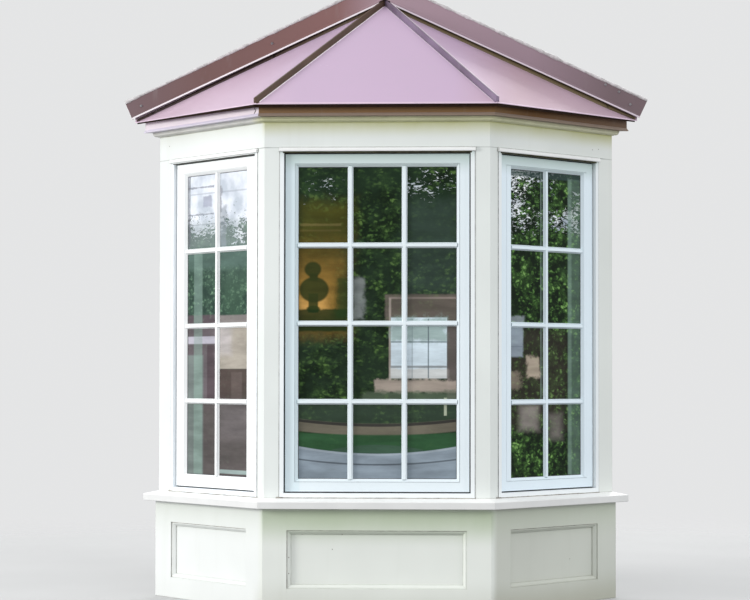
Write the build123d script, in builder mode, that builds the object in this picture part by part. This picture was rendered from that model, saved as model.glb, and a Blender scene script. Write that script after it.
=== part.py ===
from build123d import *
import math
import os

os.makedirs("parts", exist_ok=True)

# An angled bay window: panelled base, sill, three window units, frieze and metal roof.
# Millimetres, +Z up, +X to the right seen from the street, +Y into the house.
# The origin is on the ground, under the middle of the whole outline.

# Plan of the bay, on the outer face of the posts
HALF_FRONT = 444.0
PROJECTION = 500.0
SIDE_ANGLE = 45.0

# Heights, each above the one before
BASE_TOP = 396.0
SEAT_BOARD = 41.0
WINDOW_HEIGHT = 1376.0
FRIEZE_HEIGHT = 119.0
EAVE_LIFT = 46.0
ROOF_RISE = 492.0

# Panelled base
BASE_PROUD = 10.0
BOARD = 19.0
BOTTOM_BOARD = 25.0
BASE_CORNER_FRONT = 91.0
BASE_CORNER_SIDE = 102.0
BASE_WALL_BOARD = 100.0
BASE_TOP_RAIL = 85.0
BASE_BOTTOM_RAIL = 83.0
PANEL_MOULDING = 15.0
PANEL_MOULDING_BACK = 5.0
PANEL_MOULDING_BEVEL = 9.0

# Sill
SILL_REACH = 47.0
SILL_INSET = 15.0
SILL_EDGE = 28.0
SILL_ROUNDING = 3.0
DRIP_GROOVE = 5.0
DRIP_GROOVE_DEPTH = 4.0
DRIP_GROOVE_INSET = 12.0

# Posts between and beside the windows
CORNER_POST_FRONT = 60.5
CORNER_POST_SIDE = 44.0
WALL_POST = 84.0

# Window units
FRAME_PROUD = 2.0
FRAME_DEPTH = 80.0
FRAME_SIDE_FACE = 16.5
FRAME_END_FACE = 19.5
SASH_SETBACK = 15.0
SASH_THICKNESS = 35.0
SASH_GAP = 5.0
SASH_STILE = 50.0
SASH_FLAT = 37.0
SASH_QUIRK = 2.0
SASH_BEVEL = 10.0
STOP_LAP = 9.0
GLASS_SETBACK = 13.0
GLASS_THICKNESS = 16.0
GLASS_BITE = 8.0

# Head, frieze and cornice
HEAD_BOARD = 25.0
HEADER = 38.0
CORNICE_REACH = 22.0
CORNICE_HEIGHT = 19.0
CORNICE_FOOT = 6.0
CORNICE_LISTEL = 6.0
CORNICE_STEP = 2.0
CORNICE_ROUNDING = 9.0
MITRE_GAP = 0.5

# Metal drip fascia
SHEET = 2.0
FASCIA_REACH = 44.0
FASCIA_HEM = 12.0
FASCIA_KICK = 5.0
FASCIA_LIP = 3.0

# Roof
PAN_OVERHANG = 74.0
PAN = 3.0
PAN_HEM = 3.0
DECK = 15.0
RIB_WIDTH = 13.0
RIB_CROWN = 12.0
RIB_HEIGHT = 19.0
RIB_ROUNDING = 1.5
RIB_FLANGE = 3.0
RIB_FLANGE_LIFT = 1.5
RIB_SETBACK = 5.0
RIB_END_CLEARANCE = 2.0

# Flashing where the roof meets the wall
FLASHING_LIFT = 16.0
FLASHING_WIDTH = 78.0
FLASHING_TOP_REACH = 5.0
FLASHING_REACH = 26.0
FLASHING_HEM = 7.0
FLASHING_KICK = 6.0
FLASHING_RETURN = 10.0
FLASHING_OVERRUN = 10.0
FLASHING_SHEET = 2.5
FLASHING_LIP = 6.0

# Worked out from the sizes above
SEAT_TOP = BASE_TOP + SEAT_BOARD
HEAD_BOTTOM = SEAT_TOP + WINDOW_HEIGHT
FRIEZE_TOP = HEAD_BOTTOM + FRIEZE_HEIGHT
EAVE_HEIGHT = FRIEZE_TOP + EAVE_LIFT
APEX_HEIGHT = EAVE_HEIGHT + ROOF_RISE
ANGLE = math.radians(SIDE_ANGLE)
HALF_WALL = HALF_FRONT + PROJECTION / math.tan(ANGLE)
SIDE_LENGTH = PROJECTION / math.sin(ANGLE)
WALL_Y = (PROJECTION + PAN_OVERHANG) / 2
BOARD_BACK = BASE_PROUD - BOARD
EAVE_END = HALF_WALL + PAN_OVERHANG / math.sin(ANGLE)
WALL_PITCH = math.atan(ROOF_RISE / EAVE_END)
SIDES = ("left", "front", "right")


def corner_point(offset):
    """Right front corner of the plan, moved outwards by offset."""
    return HALF_FRONT + offset * math.tan(ANGLE / 2), WALL_Y - PROJECTION - offset


def wall_point(offset):
    """Right end of the plan at the wall, moved outwards by offset."""
    return HALF_WALL + offset / math.sin(ANGLE), WALL_Y


def side_point(along, offset):
    """Point beside the right face: along it from the wall, and outwards by offset."""
    x = HALF_WALL - along * math.cos(ANGLE) + offset * math.sin(ANGLE)
    y = WALL_Y - along * math.sin(ANGLE) - offset * math.cos(ANGLE)
    return x, y


def flip(points):
    """The same plan points on the left of the middle plane."""
    return [(-x, y) for x, y in points]


def strip(side, outer, inner, gap=0.0):
    """Plan of a mitred strip along one side, between two offsets."""
    ends = [corner_point(outer), corner_point(inner)]
    if side == "front":
        ends = [(x - gap, y) for x, y in ends]
        return flip(ends) + ends[::-1]
    points = [wall_point(outer)] + ends + [wall_point(inner)]
    return flip(points) if side == "left" else points


def outline(offset):
    """Plan of the whole bay, moved outwards by offset."""
    points = [corner_point(offset), wall_point(offset)]
    return flip(points[::-1]) + points


def outward(side):
    """Level direction that one side faces."""
    if side == "front":
        return Vector(0, -1, 0)
    across = -math.sin(ANGLE) if side == "left" else math.sin(ANGLE)
    return Vector(across, -math.cos(ANGLE), 0)


def face_plane(side, offset, height, shift=0.0):
    """Upright plane on one side, X along it, Y up, Z outwards.

    The origin is in the middle of the front, or shift along a side from the wall.
    """
    if side == "front":
        return Plane(origin=(shift, WALL_Y - PROJECTION - offset, height), x_dir=(1, 0, 0), z_dir=(0, -1, 0))
    x, y = side_point(shift, offset)
    along = (math.cos(ANGLE), -math.sin(ANGLE), 0)
    return Plane(origin=(-x, y, height), x_dir=along, z_dir=outward("left"))


def section_plane(side, height):
    """Upright plane across the middle of one side, X outwards from the posts and Y up."""
    x, y = (0, WALL_Y - PROJECTION) if side == "front" else flip([side_point(SIDE_LENGTH / 2, 0)])[0]
    across = outward(side)
    return Plane(origin=(x, y, height), x_dir=across, z_dir=across.cross(Vector(0, 0, 1)))


def mitre_plane(across):
    """Upright plane of the mitre at the left (-1) or right (1) corner, facing the middle."""
    x, y = corner_point(0)
    return Plane(origin=(across * x, y, 0), z_dir=(-across, -math.tan(ANGLE / 2), 0))


def mitred(section, side, height, gap=0.0):
    """One length of a section along the front or left side, mitred at its corners."""
    with BuildPart() as length:
        with BuildSketch(section_plane(side, height)):
            add(section)
        extrude(amount=HALF_WALL, both=True)
        if side == "front":
            split(bisect_by=mitre_plane(-1).offset(gap), keep=Keep.TOP)
            split(bisect_by=mitre_plane(1).offset(gap), keep=Keep.TOP)
        else:
            split(bisect_by=mitre_plane(-1).offset(-gap), keep=Keep.BOTTOM)
            split(bisect_by=Plane.XZ.offset(-WALL_Y), keep=Keep.TOP)
    return length.part


def slope_plane(side, offset, height, pitch):
    """Plane that falls outwards with a pitch, through a level line at an offset."""
    normal = outward(side) * math.sin(pitch) + Vector(0, 0, 1) * math.cos(pitch)
    if side == "front":
        start = Vector(0, WALL_Y - PROJECTION - offset, height)
    else:
        x, y = side_point(0, offset)
        start = Vector(-x if side == "left" else x, y, height)
    return Plane(origin=start, z_dir=normal)


def roof_plane(side):
    """Top surface of one roof pan: from its eave up to the apex at the wall."""
    if side == "front":
        run = PROJECTION + PAN_OVERHANG
    else:
        run = EAVE_END * math.sin(ANGLE)
    return slope_plane(side, PAN_OVERHANG, EAVE_HEIGHT, math.atan(ROOF_RISE / run))


def roof_sector(side):
    """Plan of one roof pan, between the hips or a hip and the wall."""
    corner = corner_point(PAN_OVERHANG)
    apex = (0, WALL_Y)
    if side == "front":
        return flip([corner]) + [corner, apex]
    points = [apex, corner, wall_point(PAN_OVERHANG)]
    return flip(points) if side == "left" else points


def cut_under_roof(drop):
    """Cut the piece being made along all three roof surfaces, lowered by drop."""
    for side in SIDES:
        split(bisect_by=roof_plane(side).offset(-drop), keep=Keep.BOTTOM)


def save(piece, name):
    """Label a finished piece and write it."""
    piece.label = name
    export_step(piece, f"parts/{name}.step")


def save_pair(piece, name):
    """Save a left piece and its mirror image on the right."""
    save(piece, f"{name}_left")
    with BuildPart() as right:
        mirror(piece, about=Plane.YZ)
    save(right.part, f"{name}_right")


# Floor plate inside the foot of the base
with BuildPart() as bottom_board:
    with BuildSketch(Plane.XY):
        Polygon(*outline(BOARD_BACK))
    extrude(amount=BOTTOM_BOARD)
save(bottom_board.part, "bottom_board")

# Base boards: wide stiles at the corners and the wall, rails above and below each panel
corner_stile_end = SIDE_LENGTH - BASE_CORNER_SIDE
with BuildPart() as base_corner_board:
    with BuildSketch(Plane.XY):
        front_edge = HALF_FRONT - BASE_CORNER_FRONT
        Polygon(*flip([
            (front_edge, corner_point(BASE_PROUD)[1]),
            corner_point(BASE_PROUD),
            side_point(corner_stile_end, BASE_PROUD),
            side_point(corner_stile_end, BOARD_BACK),
            corner_point(BOARD_BACK),
            (front_edge, corner_point(BOARD_BACK)[1]),
        ]))
    extrude(amount=BASE_TOP)
save_pair(base_corner_board.part, "base_corner_board")

with BuildPart() as base_wall_board:
    with BuildSketch(Plane.XY):
        Polygon(*flip([
            wall_point(BASE_PROUD),
            side_point(BASE_WALL_BOARD, BASE_PROUD),
            side_point(BASE_WALL_BOARD, BOARD_BACK),
            wall_point(BOARD_BACK),
        ]))
    extrude(amount=BASE_TOP)
save_pair(base_wall_board.part, "base_wall_board")


def base_bay(side):
    """Middle, along the side, and width of the base between its stiles."""
    if side == "front":
        return 0.0, 2 * (HALF_FRONT - BASE_CORNER_FRONT)
    return (BASE_WALL_BOARD + corner_stile_end) / 2, corner_stile_end - BASE_WALL_BOARD


def base_rails(side):
    """Top and bottom rail of one side, as two boards."""
    middle, width = base_bay(side)
    with BuildPart() as rails:
        for low, high in ((0, BASE_BOTTOM_RAIL), (BASE_TOP - BASE_TOP_RAIL, BASE_TOP)):
            with BuildSketch(face_plane(side, BASE_PROUD, (low + high) / 2, middle)):
                Rectangle(width, high - low)
            extrude(amount=-BOARD)
    return rails.part


def base_panel(side):
    """Panel behind the boards of one side, with its planted moulding."""
    middle, width = base_bay(side)
    low = BASE_BOTTOM_RAIL
    high = BASE_TOP - BASE_TOP_RAIL
    with BuildPart() as panel:
        with BuildSketch(Plane.XY.offset(BOTTOM_BOARD)):
            Polygon(*strip(side, BOARD_BACK, BOARD_BACK - BOARD))
        extrude(amount=BASE_TOP - BOTTOM_BOARD)
        with BuildSketch(face_plane(side, BOARD_BACK, (low + high) / 2, middle)):
            Rectangle(width, high - low)
            Rectangle(width - 2 * PANEL_MOULDING, high - low - 2 * PANEL_MOULDING, mode=Mode.SUBTRACT)
        extrude(amount=BOARD - PANEL_MOULDING_BACK)
        rim = panel.faces().sort_by(Axis((0, 0, 0), outward(side)))[-1]
        chamfer(rim.inner_wires()[0].edges(), PANEL_MOULDING_BEVEL)
    return panel.part


save(base_rails("front"), "base_rails_front")
save_pair(base_rails("left"), "base_rails")
save(base_panel("front"), "base_panel_front")
save_pair(base_panel("left"), "base_panel")


# Sill, with a top that falls outwards, a rounded nose and a drip groove under it
with BuildSketch() as sill_section:
    with BuildLine():
        Polyline(
            (-SILL_INSET, 0),
            (SILL_REACH, 0),
            (SILL_REACH, SILL_EDGE),
            (0, SEAT_BOARD),
            (-SILL_INSET, SEAT_BOARD),
            close=True,
        )
    make_face()
    fillet(vertices().group_by(Axis.X)[-1], SILL_ROUNDING)
    with Locations((SILL_REACH - DRIP_GROOVE_INSET, 0)):
        Rectangle(DRIP_GROOVE, 2 * DRIP_GROOVE_DEPTH, mode=Mode.SUBTRACT)

save(mitred(sill_section.sketch, "front", BASE_TOP), "sill_front")
save_pair(mitred(sill_section.sketch, "left", BASE_TOP), "sill")

# Seat board, the floor of the recess behind the windows
with BuildPart() as seat_board:
    with BuildSketch(Plane.XY.offset(BASE_TOP)):
        Polygon(*outline(-SILL_INSET))
    extrude(amount=SEAT_TOP - BASE_TOP)
save(seat_board.part, "seat_board")

# Posts
with BuildPart() as corner_post:
    with BuildSketch(Plane.XY.offset(SEAT_TOP)):
        post_edge = HALF_FRONT - CORNER_POST_FRONT
        post_end = SIDE_LENGTH - CORNER_POST_SIDE
        Polygon(*flip([
            (post_edge, corner_point(0)[1]),
            corner_point(0),
            side_point(post_end, 0),
            side_point(post_end, FRAME_PROUD - FRAME_DEPTH),
            corner_point(FRAME_PROUD - FRAME_DEPTH),
            (post_edge, corner_point(FRAME_PROUD - FRAME_DEPTH)[1]),
        ]))
    extrude(amount=HEAD_BOTTOM - SEAT_TOP)
save_pair(corner_post.part, "corner_post")

with BuildPart() as wall_post:
    with BuildSketch(Plane.XY.offset(SEAT_TOP)):
        Polygon(*flip([
            wall_point(0),
            side_point(WALL_POST, 0),
            side_point(WALL_POST, -WALL_POST * math.tan(ANGLE)),
        ]))
    extrude(amount=HEAD_BOTTOM - SEAT_TOP)
save_pair(wall_post.part, "wall_post")


def window_plane(side, depth):
    """Middle of one window, depth behind the face of its frame."""
    shift = 0.0
    if side != "front":
        shift = (WALL_POST + SIDE_LENGTH - CORNER_POST_SIDE) / 2
    return face_plane(side, FRAME_PROUD - depth, (SEAT_TOP + HEAD_BOTTOM) / 2, shift)


def window_size(side):
    """Width and height of one window frame."""
    if side == "front":
        return 2 * (HALF_FRONT - CORNER_POST_FRONT), HEAD_BOTTOM - SEAT_TOP
    return SIDE_LENGTH - CORNER_POST_SIDE - WALL_POST, HEAD_BOTTOM - SEAT_TOP


def ring(width, height, side_width, end_width):
    """Sketch a rectangle with a rectangular opening."""
    Rectangle(width, height)
    Rectangle(width - 2 * side_width, height - 2 * end_width, mode=Mode.SUBTRACT)


def window_frame(side):
    """Outer frame of one window, with the stop that its sash closes against."""
    width, height = window_size(side)
    stop_depth = SASH_SETBACK + SASH_THICKNESS
    with BuildPart() as frame:
        with BuildSketch(window_plane(side, 0)):
            ring(width, height, FRAME_SIDE_FACE, FRAME_END_FACE)
        extrude(amount=-FRAME_DEPTH)
        with BuildSketch(window_plane(side, stop_depth)):
            stop_reach = SASH_GAP + STOP_LAP
            ring(width, height, FRAME_SIDE_FACE + stop_reach, FRAME_END_FACE + stop_reach)
        extrude(amount=stop_depth - FRAME_DEPTH)
    return frame.part


def sash_size(side):
    """Width and height of one sash, clear of its frame."""
    width, height = window_size(side)
    return width - 2 * (FRAME_SIDE_FACE + SASH_GAP), height - 2 * (FRAME_END_FACE + SASH_GAP)


def sash(side):
    """Sash with a bevel towards the glass and a groove that holds it."""
    width, height = sash_size(side)
    pocket = SASH_STILE - GLASS_BITE
    with BuildPart() as leaf:
        with BuildSketch(window_plane(side, SASH_SETBACK)):
            ring(width, height, SASH_STILE, SASH_STILE)
        extrude(amount=-SASH_THICKNESS)
        face = leaf.faces().sort_by(Axis((0, 0, 0), outward(side)))[-1]
        chamfer(face.inner_wires()[0].edges(), SASH_BEVEL)
        quirk_width, quirk_height = width - 2 * SASH_FLAT, height - 2 * SASH_FLAT
        with BuildSketch(window_plane(side, SASH_SETBACK)):
            ring(quirk_width, quirk_height, SASH_QUIRK, SASH_QUIRK)
        extrude(amount=-SASH_QUIRK, mode=Mode.SUBTRACT)
        with BuildSketch(window_plane(side, SASH_SETBACK + GLASS_SETBACK)):
            Rectangle(width - 2 * pocket, height - 2 * pocket)
        extrude(amount=-GLASS_THICKNESS, mode=Mode.SUBTRACT)
    return leaf.part


def glass(side):
    """Sealed glazing unit in the groove of one sash."""
    width, height = sash_size(side)
    pocket = SASH_STILE - GLASS_BITE
    with BuildPart() as pane:
        with BuildSketch(window_plane(side, SASH_SETBACK + GLASS_SETBACK)):
            Rectangle(width - 2 * pocket, height - 2 * pocket)
        extrude(amount=-GLASS_THICKNESS)
    return pane.part


for make, name in ((window_frame, "window_frame"), (sash, "sash"), (glass, "glass")):
    save(make("front"), f"{name}_front")
    save_pair(make("left"), name)

# Head board, the ceiling of the recess
with BuildPart() as head_board:
    with BuildSketch(Plane.XY.offset(HEAD_BOTTOM)):
        Polygon(*outline(-BOARD))
    extrude(amount=HEAD_BOARD)
save(head_board.part, "head_board")


def frieze(side):
    """Plain board over one window."""
    with BuildPart() as board:
        with BuildSketch(Plane.XY.offset(HEAD_BOTTOM)):
            Polygon(*strip(side, 0, -BOARD))
        extrude(amount=FRIEZE_TOP - HEAD_BOTTOM)
    return board.part


save(frieze("front"), "frieze_front")
save_pair(frieze("left"), "frieze")

# Framing that stands on the head board and carries the roof
with BuildPart() as roof_header:
    for side in SIDES:
        with BuildSketch(Plane.XY.offset(HEAD_BOTTOM + HEAD_BOARD)):
            Polygon(*strip(side, -BOARD, -BOARD - HEADER, MITRE_GAP))
        extrude(amount=APEX_HEIGHT - HEAD_BOTTOM)
    cut_under_roof(PAN + DECK)
save(roof_header.part, "roof_header")


# Moulding under the fascia: a listel, a step, a quarter round and a foot against the frieze
round_x = CORNICE_REACH - CORNICE_STEP
round_y = CORNICE_STEP - CORNICE_HEIGHT
with BuildSketch() as cornice_section:
    with BuildLine():
        Polyline(
            (0, 0),
            (0, -CORNICE_HEIGHT),
            (CORNICE_FOOT, -CORNICE_HEIGHT),
            (CORNICE_FOOT, round_y),
            (round_x, round_y),
            (round_x, -CORNICE_LISTEL),
            (CORNICE_REACH, -CORNICE_LISTEL),
            (CORNICE_REACH, 0),
            close=True,
        )
    make_face()
    fillet(vertices().sort_by_distance((round_x, round_y))[0], CORNICE_ROUNDING)

with BuildPart() as cornice:
    add(mitred(cornice_section.sketch, "front", FRIEZE_TOP, MITRE_GAP))
    side_cornice = mitred(cornice_section.sketch, "left", FRIEZE_TOP, MITRE_GAP)
    add(side_cornice)
    mirror(side_cornice, about=Plane.YZ)
save(cornice.part, "cornice")


# Section of the metal fascia: upright face, a drip edge kicked out at its foot, and a soffit
with BuildSketch() as fascia_section:
    with BuildLine():
        Polyline(
            (-BOARD, 0),
            (FASCIA_REACH + FASCIA_KICK, 0),
            (FASCIA_REACH + FASCIA_KICK, FASCIA_LIP),
            (FASCIA_REACH, FASCIA_HEM),
            (FASCIA_REACH, ROOF_RISE),
            (FASCIA_REACH - SHEET, ROOF_RISE),
            (FASCIA_REACH - SHEET, SHEET),
            (-BOARD, SHEET),
            close=True,
        )
    make_face()


def drip_fascia(side):
    """Metal fascia of one side, cut to the underside of the roof."""
    with BuildPart() as fascia:
        add(mitred(fascia_section.sketch, side, FRIEZE_TOP))
        cut_under_roof(PAN)
    return fascia.part


save(drip_fascia("front"), "drip_fascia_front")
save_pair(drip_fascia("left"), "drip_fascia")

def deck_slab(side):
    """Roof boarding under one pan, inside the fascia."""
    with BuildPart() as slab:
        with BuildSketch(Plane.XY.offset(FRIEZE_TOP)):
            Polygon(*roof_sector(side))
            Polygon(*outline(FASCIA_REACH - SHEET), mode=Mode.INTERSECT)
            offset(amount=-MITRE_GAP, kind=Kind.INTERSECTION, mode=Mode.REPLACE)
        extrude(amount=APEX_HEIGHT - FRIEZE_TOP)
        split(bisect_by=roof_plane(side).offset(-PAN), keep=Keep.BOTTOM)
        split(bisect_by=roof_plane(side).offset(-PAN - DECK), keep=Keep.TOP)
    return slab.part


with BuildPart() as roof_deck:
    for side in SIDES:
        add(deck_slab(side))
save(roof_deck.part, "roof_deck")


def roof_pan(side):
    """Metal sheet of one slope, with a hem at its eave and an upstand at the wall."""
    with BuildPart() as pan:
        with BuildSketch(Plane.XY.offset(FRIEZE_TOP)):
            Polygon(*roof_sector(side))
        extrude(amount=APEX_HEIGHT - FRIEZE_TOP)
        split(bisect_by=roof_plane(side), keep=Keep.BOTTOM)
        split(bisect_by=roof_plane(side).offset(-PAN), keep=Keep.TOP)
        with BuildSketch(Plane.XY.offset(EAVE_HEIGHT - PAN_HEM)):
            Polygon(*strip(side, PAN_OVERHANG, PAN_OVERHANG - SHEET))
            Polygon(*roof_sector(side), mode=Mode.INTERSECT)
        extrude(amount=PAN_HEM - PAN / 2)
        if side == "front":
            split(bisect_by=Plane.XZ.offset(SHEET - WALL_Y), keep=Keep.TOP)
        else:
            foot = PAN / math.cos(WALL_PITCH)
            upstand = FLASHING_LIFT + (FLASHING_WIDTH - FLASHING_LIP) / math.cos(WALL_PITCH)
            with BuildSketch(Plane(origin=(0, WALL_Y, 0), x_dir=(1, 0, 0), z_dir=(0, -1, 0))):
                Polygon(*[
                    (-EAVE_END, EAVE_HEIGHT - foot),
                    (0, APEX_HEIGHT - foot),
                    (0, APEX_HEIGHT + upstand),
                    (-EAVE_END, EAVE_HEIGHT + upstand),
                ])
            extrude(amount=SHEET)
    return pan.part


save(roof_pan("front"), "roof_pan_front")
save_pair(roof_pan("left"), "roof_pan")


def under_roof(lift):
    """Everything under the roof surface raised by lift, used only to shape the ribs."""
    with BuildPart() as body:
        with BuildSketch(Plane.XY.offset(FRIEZE_TOP)):
            Polygon(*outline(2 * PAN_OVERHANG))
        extrude(amount=APEX_HEIGHT + RIB_HEIGHT - FRIEZE_TOP)
        cut_under_roof(-lift)
    return body.part


# Rib along each hip: a tall narrow cap with a small flange on either pan, cut square at its foot
with BuildPart() as hip_rib:
    hip_foot = Vector(-corner_point(PAN_OVERHANG)[0], corner_point(PAN_OVERHANG)[1], EAVE_HEIGHT)
    hip = Vector(0, WALL_Y, APEX_HEIGHT) - hip_foot
    level = Vector(0, 0, 1).cross(hip).normalized()
    rib_plane = Plane(origin=hip_foot + hip.normalized() * RIB_SETBACK, x_dir=level, z_dir=hip)
    rib_length = hip.length
    with BuildSketch(rib_plane):
        Rectangle(RIB_WIDTH + 2 * RIB_FLANGE, RIB_WIDTH)
    extrude(amount=rib_length)
    add(under_roof(RIB_FLANGE_LIFT), mode=Mode.INTERSECT)
    with BuildSketch(rib_plane):
        Polygon(*[
            (-RIB_WIDTH / 2, -RIB_WIDTH / 2),
            (RIB_WIDTH / 2, -RIB_WIDTH / 2),
            (RIB_WIDTH / 2, 0),
            (RIB_CROWN / 2, RIB_HEIGHT),
            (-RIB_CROWN / 2, RIB_HEIGHT),
            (-RIB_WIDTH / 2, 0),
        ])
        fillet(vertices().group_by(Axis.Y)[-1], RIB_ROUNDING)
    extrude(amount=rib_length)
    add(under_roof(0), mode=Mode.SUBTRACT)
    split(bisect_by=face_plane("front", PAN_OVERHANG, 0), keep=Keep.BOTTOM)
    split(bisect_by=face_plane("left", PAN_OVERHANG, 0), keep=Keep.BOTTOM)
    split(bisect_by=Plane.YZ, keep=Keep.BOTTOM)
    wall_stop = WALL_Y - FLASHING_REACH - RIB_END_CLEARANCE
    split(bisect_by=Plane.XZ.offset(-wall_stop), keep=Keep.TOP)
save_pair(hip_rib.part, "hip_rib")

# Flashing on the wall above the upstand, with a folded hem kicked outwards and a closed end
with BuildPart() as wall_flashing:
    along = Vector(math.cos(WALL_PITCH), 0, math.sin(WALL_PITCH))
    hem_x = -EAVE_END - FLASHING_OVERRUN
    hem_z = EAVE_HEIGHT - FLASHING_OVERRUN * math.tan(WALL_PITCH) + FLASHING_LIFT
    hem_end = Vector(hem_x, WALL_Y, hem_z)
    face_reach = FLASHING_REACH - FLASHING_KICK
    end_plane = Plane(origin=hem_end, x_dir=(0, -1, 0), z_dir=-along)
    front_points = [
        (0, FLASHING_WIDTH),
        (FLASHING_TOP_REACH, FLASHING_WIDTH),
        (face_reach, FLASHING_HEM),
        (FLASHING_REACH, 0),
    ]
    with BuildSketch(end_plane):
        Polygon(*front_points, *[
            (FLASHING_REACH - FLASHING_RETURN, 0),
            (FLASHING_REACH - FLASHING_RETURN, FLASHING_SHEET),
            (face_reach, FLASHING_SHEET),
            (face_reach - FLASHING_SHEET, FLASHING_HEM),
            (FLASHING_TOP_REACH - FLASHING_SHEET, FLASHING_WIDTH - FLASHING_LIP),
            (0, FLASHING_WIDTH - FLASHING_LIP),
        ])
    extrude(amount=hem_x * 1.2)
    with BuildSketch(end_plane):
        Polygon(*front_points, (0, 0))
    extrude(amount=-SHEET)
    split(bisect_by=Plane.YZ, keep=Keep.BOTTOM)
save_pair(wall_flashing.part, "wall_flashing")
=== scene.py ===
"""Looks of an angled bay window: painted timber, vinyl windows and a folded metal roof.

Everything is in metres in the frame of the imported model: +Z up, +X to the right seen
from the front, +Y into the house. Each side of the bay is dressed in its own level
coordinates: u along the side to the right, d out of it, and z up.
"""
import logging
import math
from dataclasses import dataclass, field
from enum import Enum

import bmesh
import bpy
from mathutils import Matrix, Vector, noise


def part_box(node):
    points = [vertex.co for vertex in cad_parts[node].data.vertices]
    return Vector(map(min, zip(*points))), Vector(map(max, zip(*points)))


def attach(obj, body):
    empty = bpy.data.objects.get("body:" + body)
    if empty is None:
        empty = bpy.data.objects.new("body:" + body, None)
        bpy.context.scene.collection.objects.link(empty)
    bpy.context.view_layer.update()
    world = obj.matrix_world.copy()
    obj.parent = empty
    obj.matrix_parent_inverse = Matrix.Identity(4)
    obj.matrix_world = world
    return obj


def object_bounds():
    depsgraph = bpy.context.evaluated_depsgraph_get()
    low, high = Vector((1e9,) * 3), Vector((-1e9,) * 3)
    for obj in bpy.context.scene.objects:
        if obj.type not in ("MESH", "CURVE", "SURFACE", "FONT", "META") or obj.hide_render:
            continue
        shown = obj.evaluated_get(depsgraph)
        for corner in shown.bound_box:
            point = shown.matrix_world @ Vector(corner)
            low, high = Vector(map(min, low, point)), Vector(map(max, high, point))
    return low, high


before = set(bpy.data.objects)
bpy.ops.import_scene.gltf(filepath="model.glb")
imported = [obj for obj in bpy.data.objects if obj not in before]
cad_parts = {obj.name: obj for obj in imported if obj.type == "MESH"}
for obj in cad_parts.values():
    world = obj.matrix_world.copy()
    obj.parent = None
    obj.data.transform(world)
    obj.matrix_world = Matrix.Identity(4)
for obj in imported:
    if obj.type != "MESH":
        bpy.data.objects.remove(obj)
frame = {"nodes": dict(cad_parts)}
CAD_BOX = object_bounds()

LOG = logging.getLogger("bay_window")
BODY = "root"
PHOTO_WIDTH = 750
HALF_WIDTH = 1.1
WALL_Y = CAD_BOX[1].y
SIDE_TURN = math.radians(45)
MITRE = math.tan(SIDE_TURN / 2)
UP = Vector((0, 0, 1))
FRONTWARD = Vector((0, -1, 0))
HIP_ACROSS, HIP_BACK, HIP_RISE = 0.455, 0.543, 0.491

Triple = tuple[float, float, float]
Pair = tuple[float, float]
Colour = Triple
Stops = tuple[tuple[float, Colour], ...]
Socket = bpy.types.NodeSocket
WHITE: Colour = (1.0, 1.0, 1.0)


class Side(Enum):
    """One of the three faces of the bay, with the turn of its face from the front in degrees."""

    LEFT = -45.0
    FRONT = 0.0
    RIGHT = 45.0

    @property
    def label(self) -> str:
        """Name of the side as the node names have it."""
        return self.name.lower()

    @property
    def along(self) -> Vector:
        """Level direction along the face, to the right seen from outside."""
        turn = math.radians(self.value)
        return Vector((math.cos(turn), math.sin(turn), 0))

    @property
    def outward(self) -> Vector:
        """Level direction that the face looks in."""
        turn = math.radians(self.value)
        return Vector((math.sin(turn), -math.cos(turn), 0))

    def point(self, u: float, d: float, z: float) -> Vector:
        """Place in the model of a point given along, out of and above."""
        return self.along * u + self.outward * d + Vector((0, 0, z))


class Shine(Enum):
    """How rough a surface is."""

    GLOSSY = 0.3
    WET = 0.35
    SATIN = 0.38
    MATTE = 0.6
    BARE = 0.78


def mesh_of(node: str) -> bpy.types.Mesh:
    """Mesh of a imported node."""
    return frame["nodes"][node].data


@dataclass(frozen=True)
class Block:
    """Extents of a piece in the coordinates of one side."""

    u0: float
    u1: float
    d0: float
    d1: float
    z0: float
    z1: float

    @classmethod
    def of(cls, side: Side, node: str) -> "Block":
        """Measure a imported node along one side.

        Args:
            side: The side whose coordinates are used.
            node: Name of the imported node.

        Returns:
            The node's extents.
        """
        corners = [v.co for v in mesh_of(node).vertices]
        us = [c.dot(side.along) for c in corners]
        ds = [c.dot(side.outward) for c in corners]
        zs = [c.z for c in corners]
        return cls(min(us), max(us), min(ds), max(ds), min(zs), max(zs))

    def inset(self, amount: float) -> "Block":
        """The same block with its outline moved inwards by an amount."""
        return self.cut(amount, amount, amount)

    def cut(self, left: float, right: float, ends: float = 0.0) -> "Block":
        """The same block with its left, its right and both its head and foot moved inwards."""
        return Block(self.u0 + left, self.u1 - right, self.d0, self.d1, self.z0 + ends, self.z1 - ends)


def longest_edge(node: str) -> tuple[Vector, Vector]:
    """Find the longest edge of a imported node.

    Args:
        node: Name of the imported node.

    Returns:
        The lower and the higher end of that edge.
    """
    mesh = mesh_of(node)
    ends = [(mesh.vertices[e.vertices[0]].co, mesh.vertices[e.vertices[1]].co) for e in mesh.edges]
    first, second = max(ends, key=lambda pair: (pair[0] - pair[1]).length)
    return (first.copy(), second.copy()) if first.z < second.z else (second.copy(), first.copy())


def top_face(node: str) -> tuple[Vector, Vector]:
    """Find the broad upper face of a packed roof pan.

    Args:
        node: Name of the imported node.

    Returns:
        One corner of that face and its normal.
    """
    mesh = mesh_of(node)
    face = max(mesh.polygons, key=lambda p: p.area * p.normal.z)
    return mesh.vertices[face.vertices[0]].co, face.normal


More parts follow.
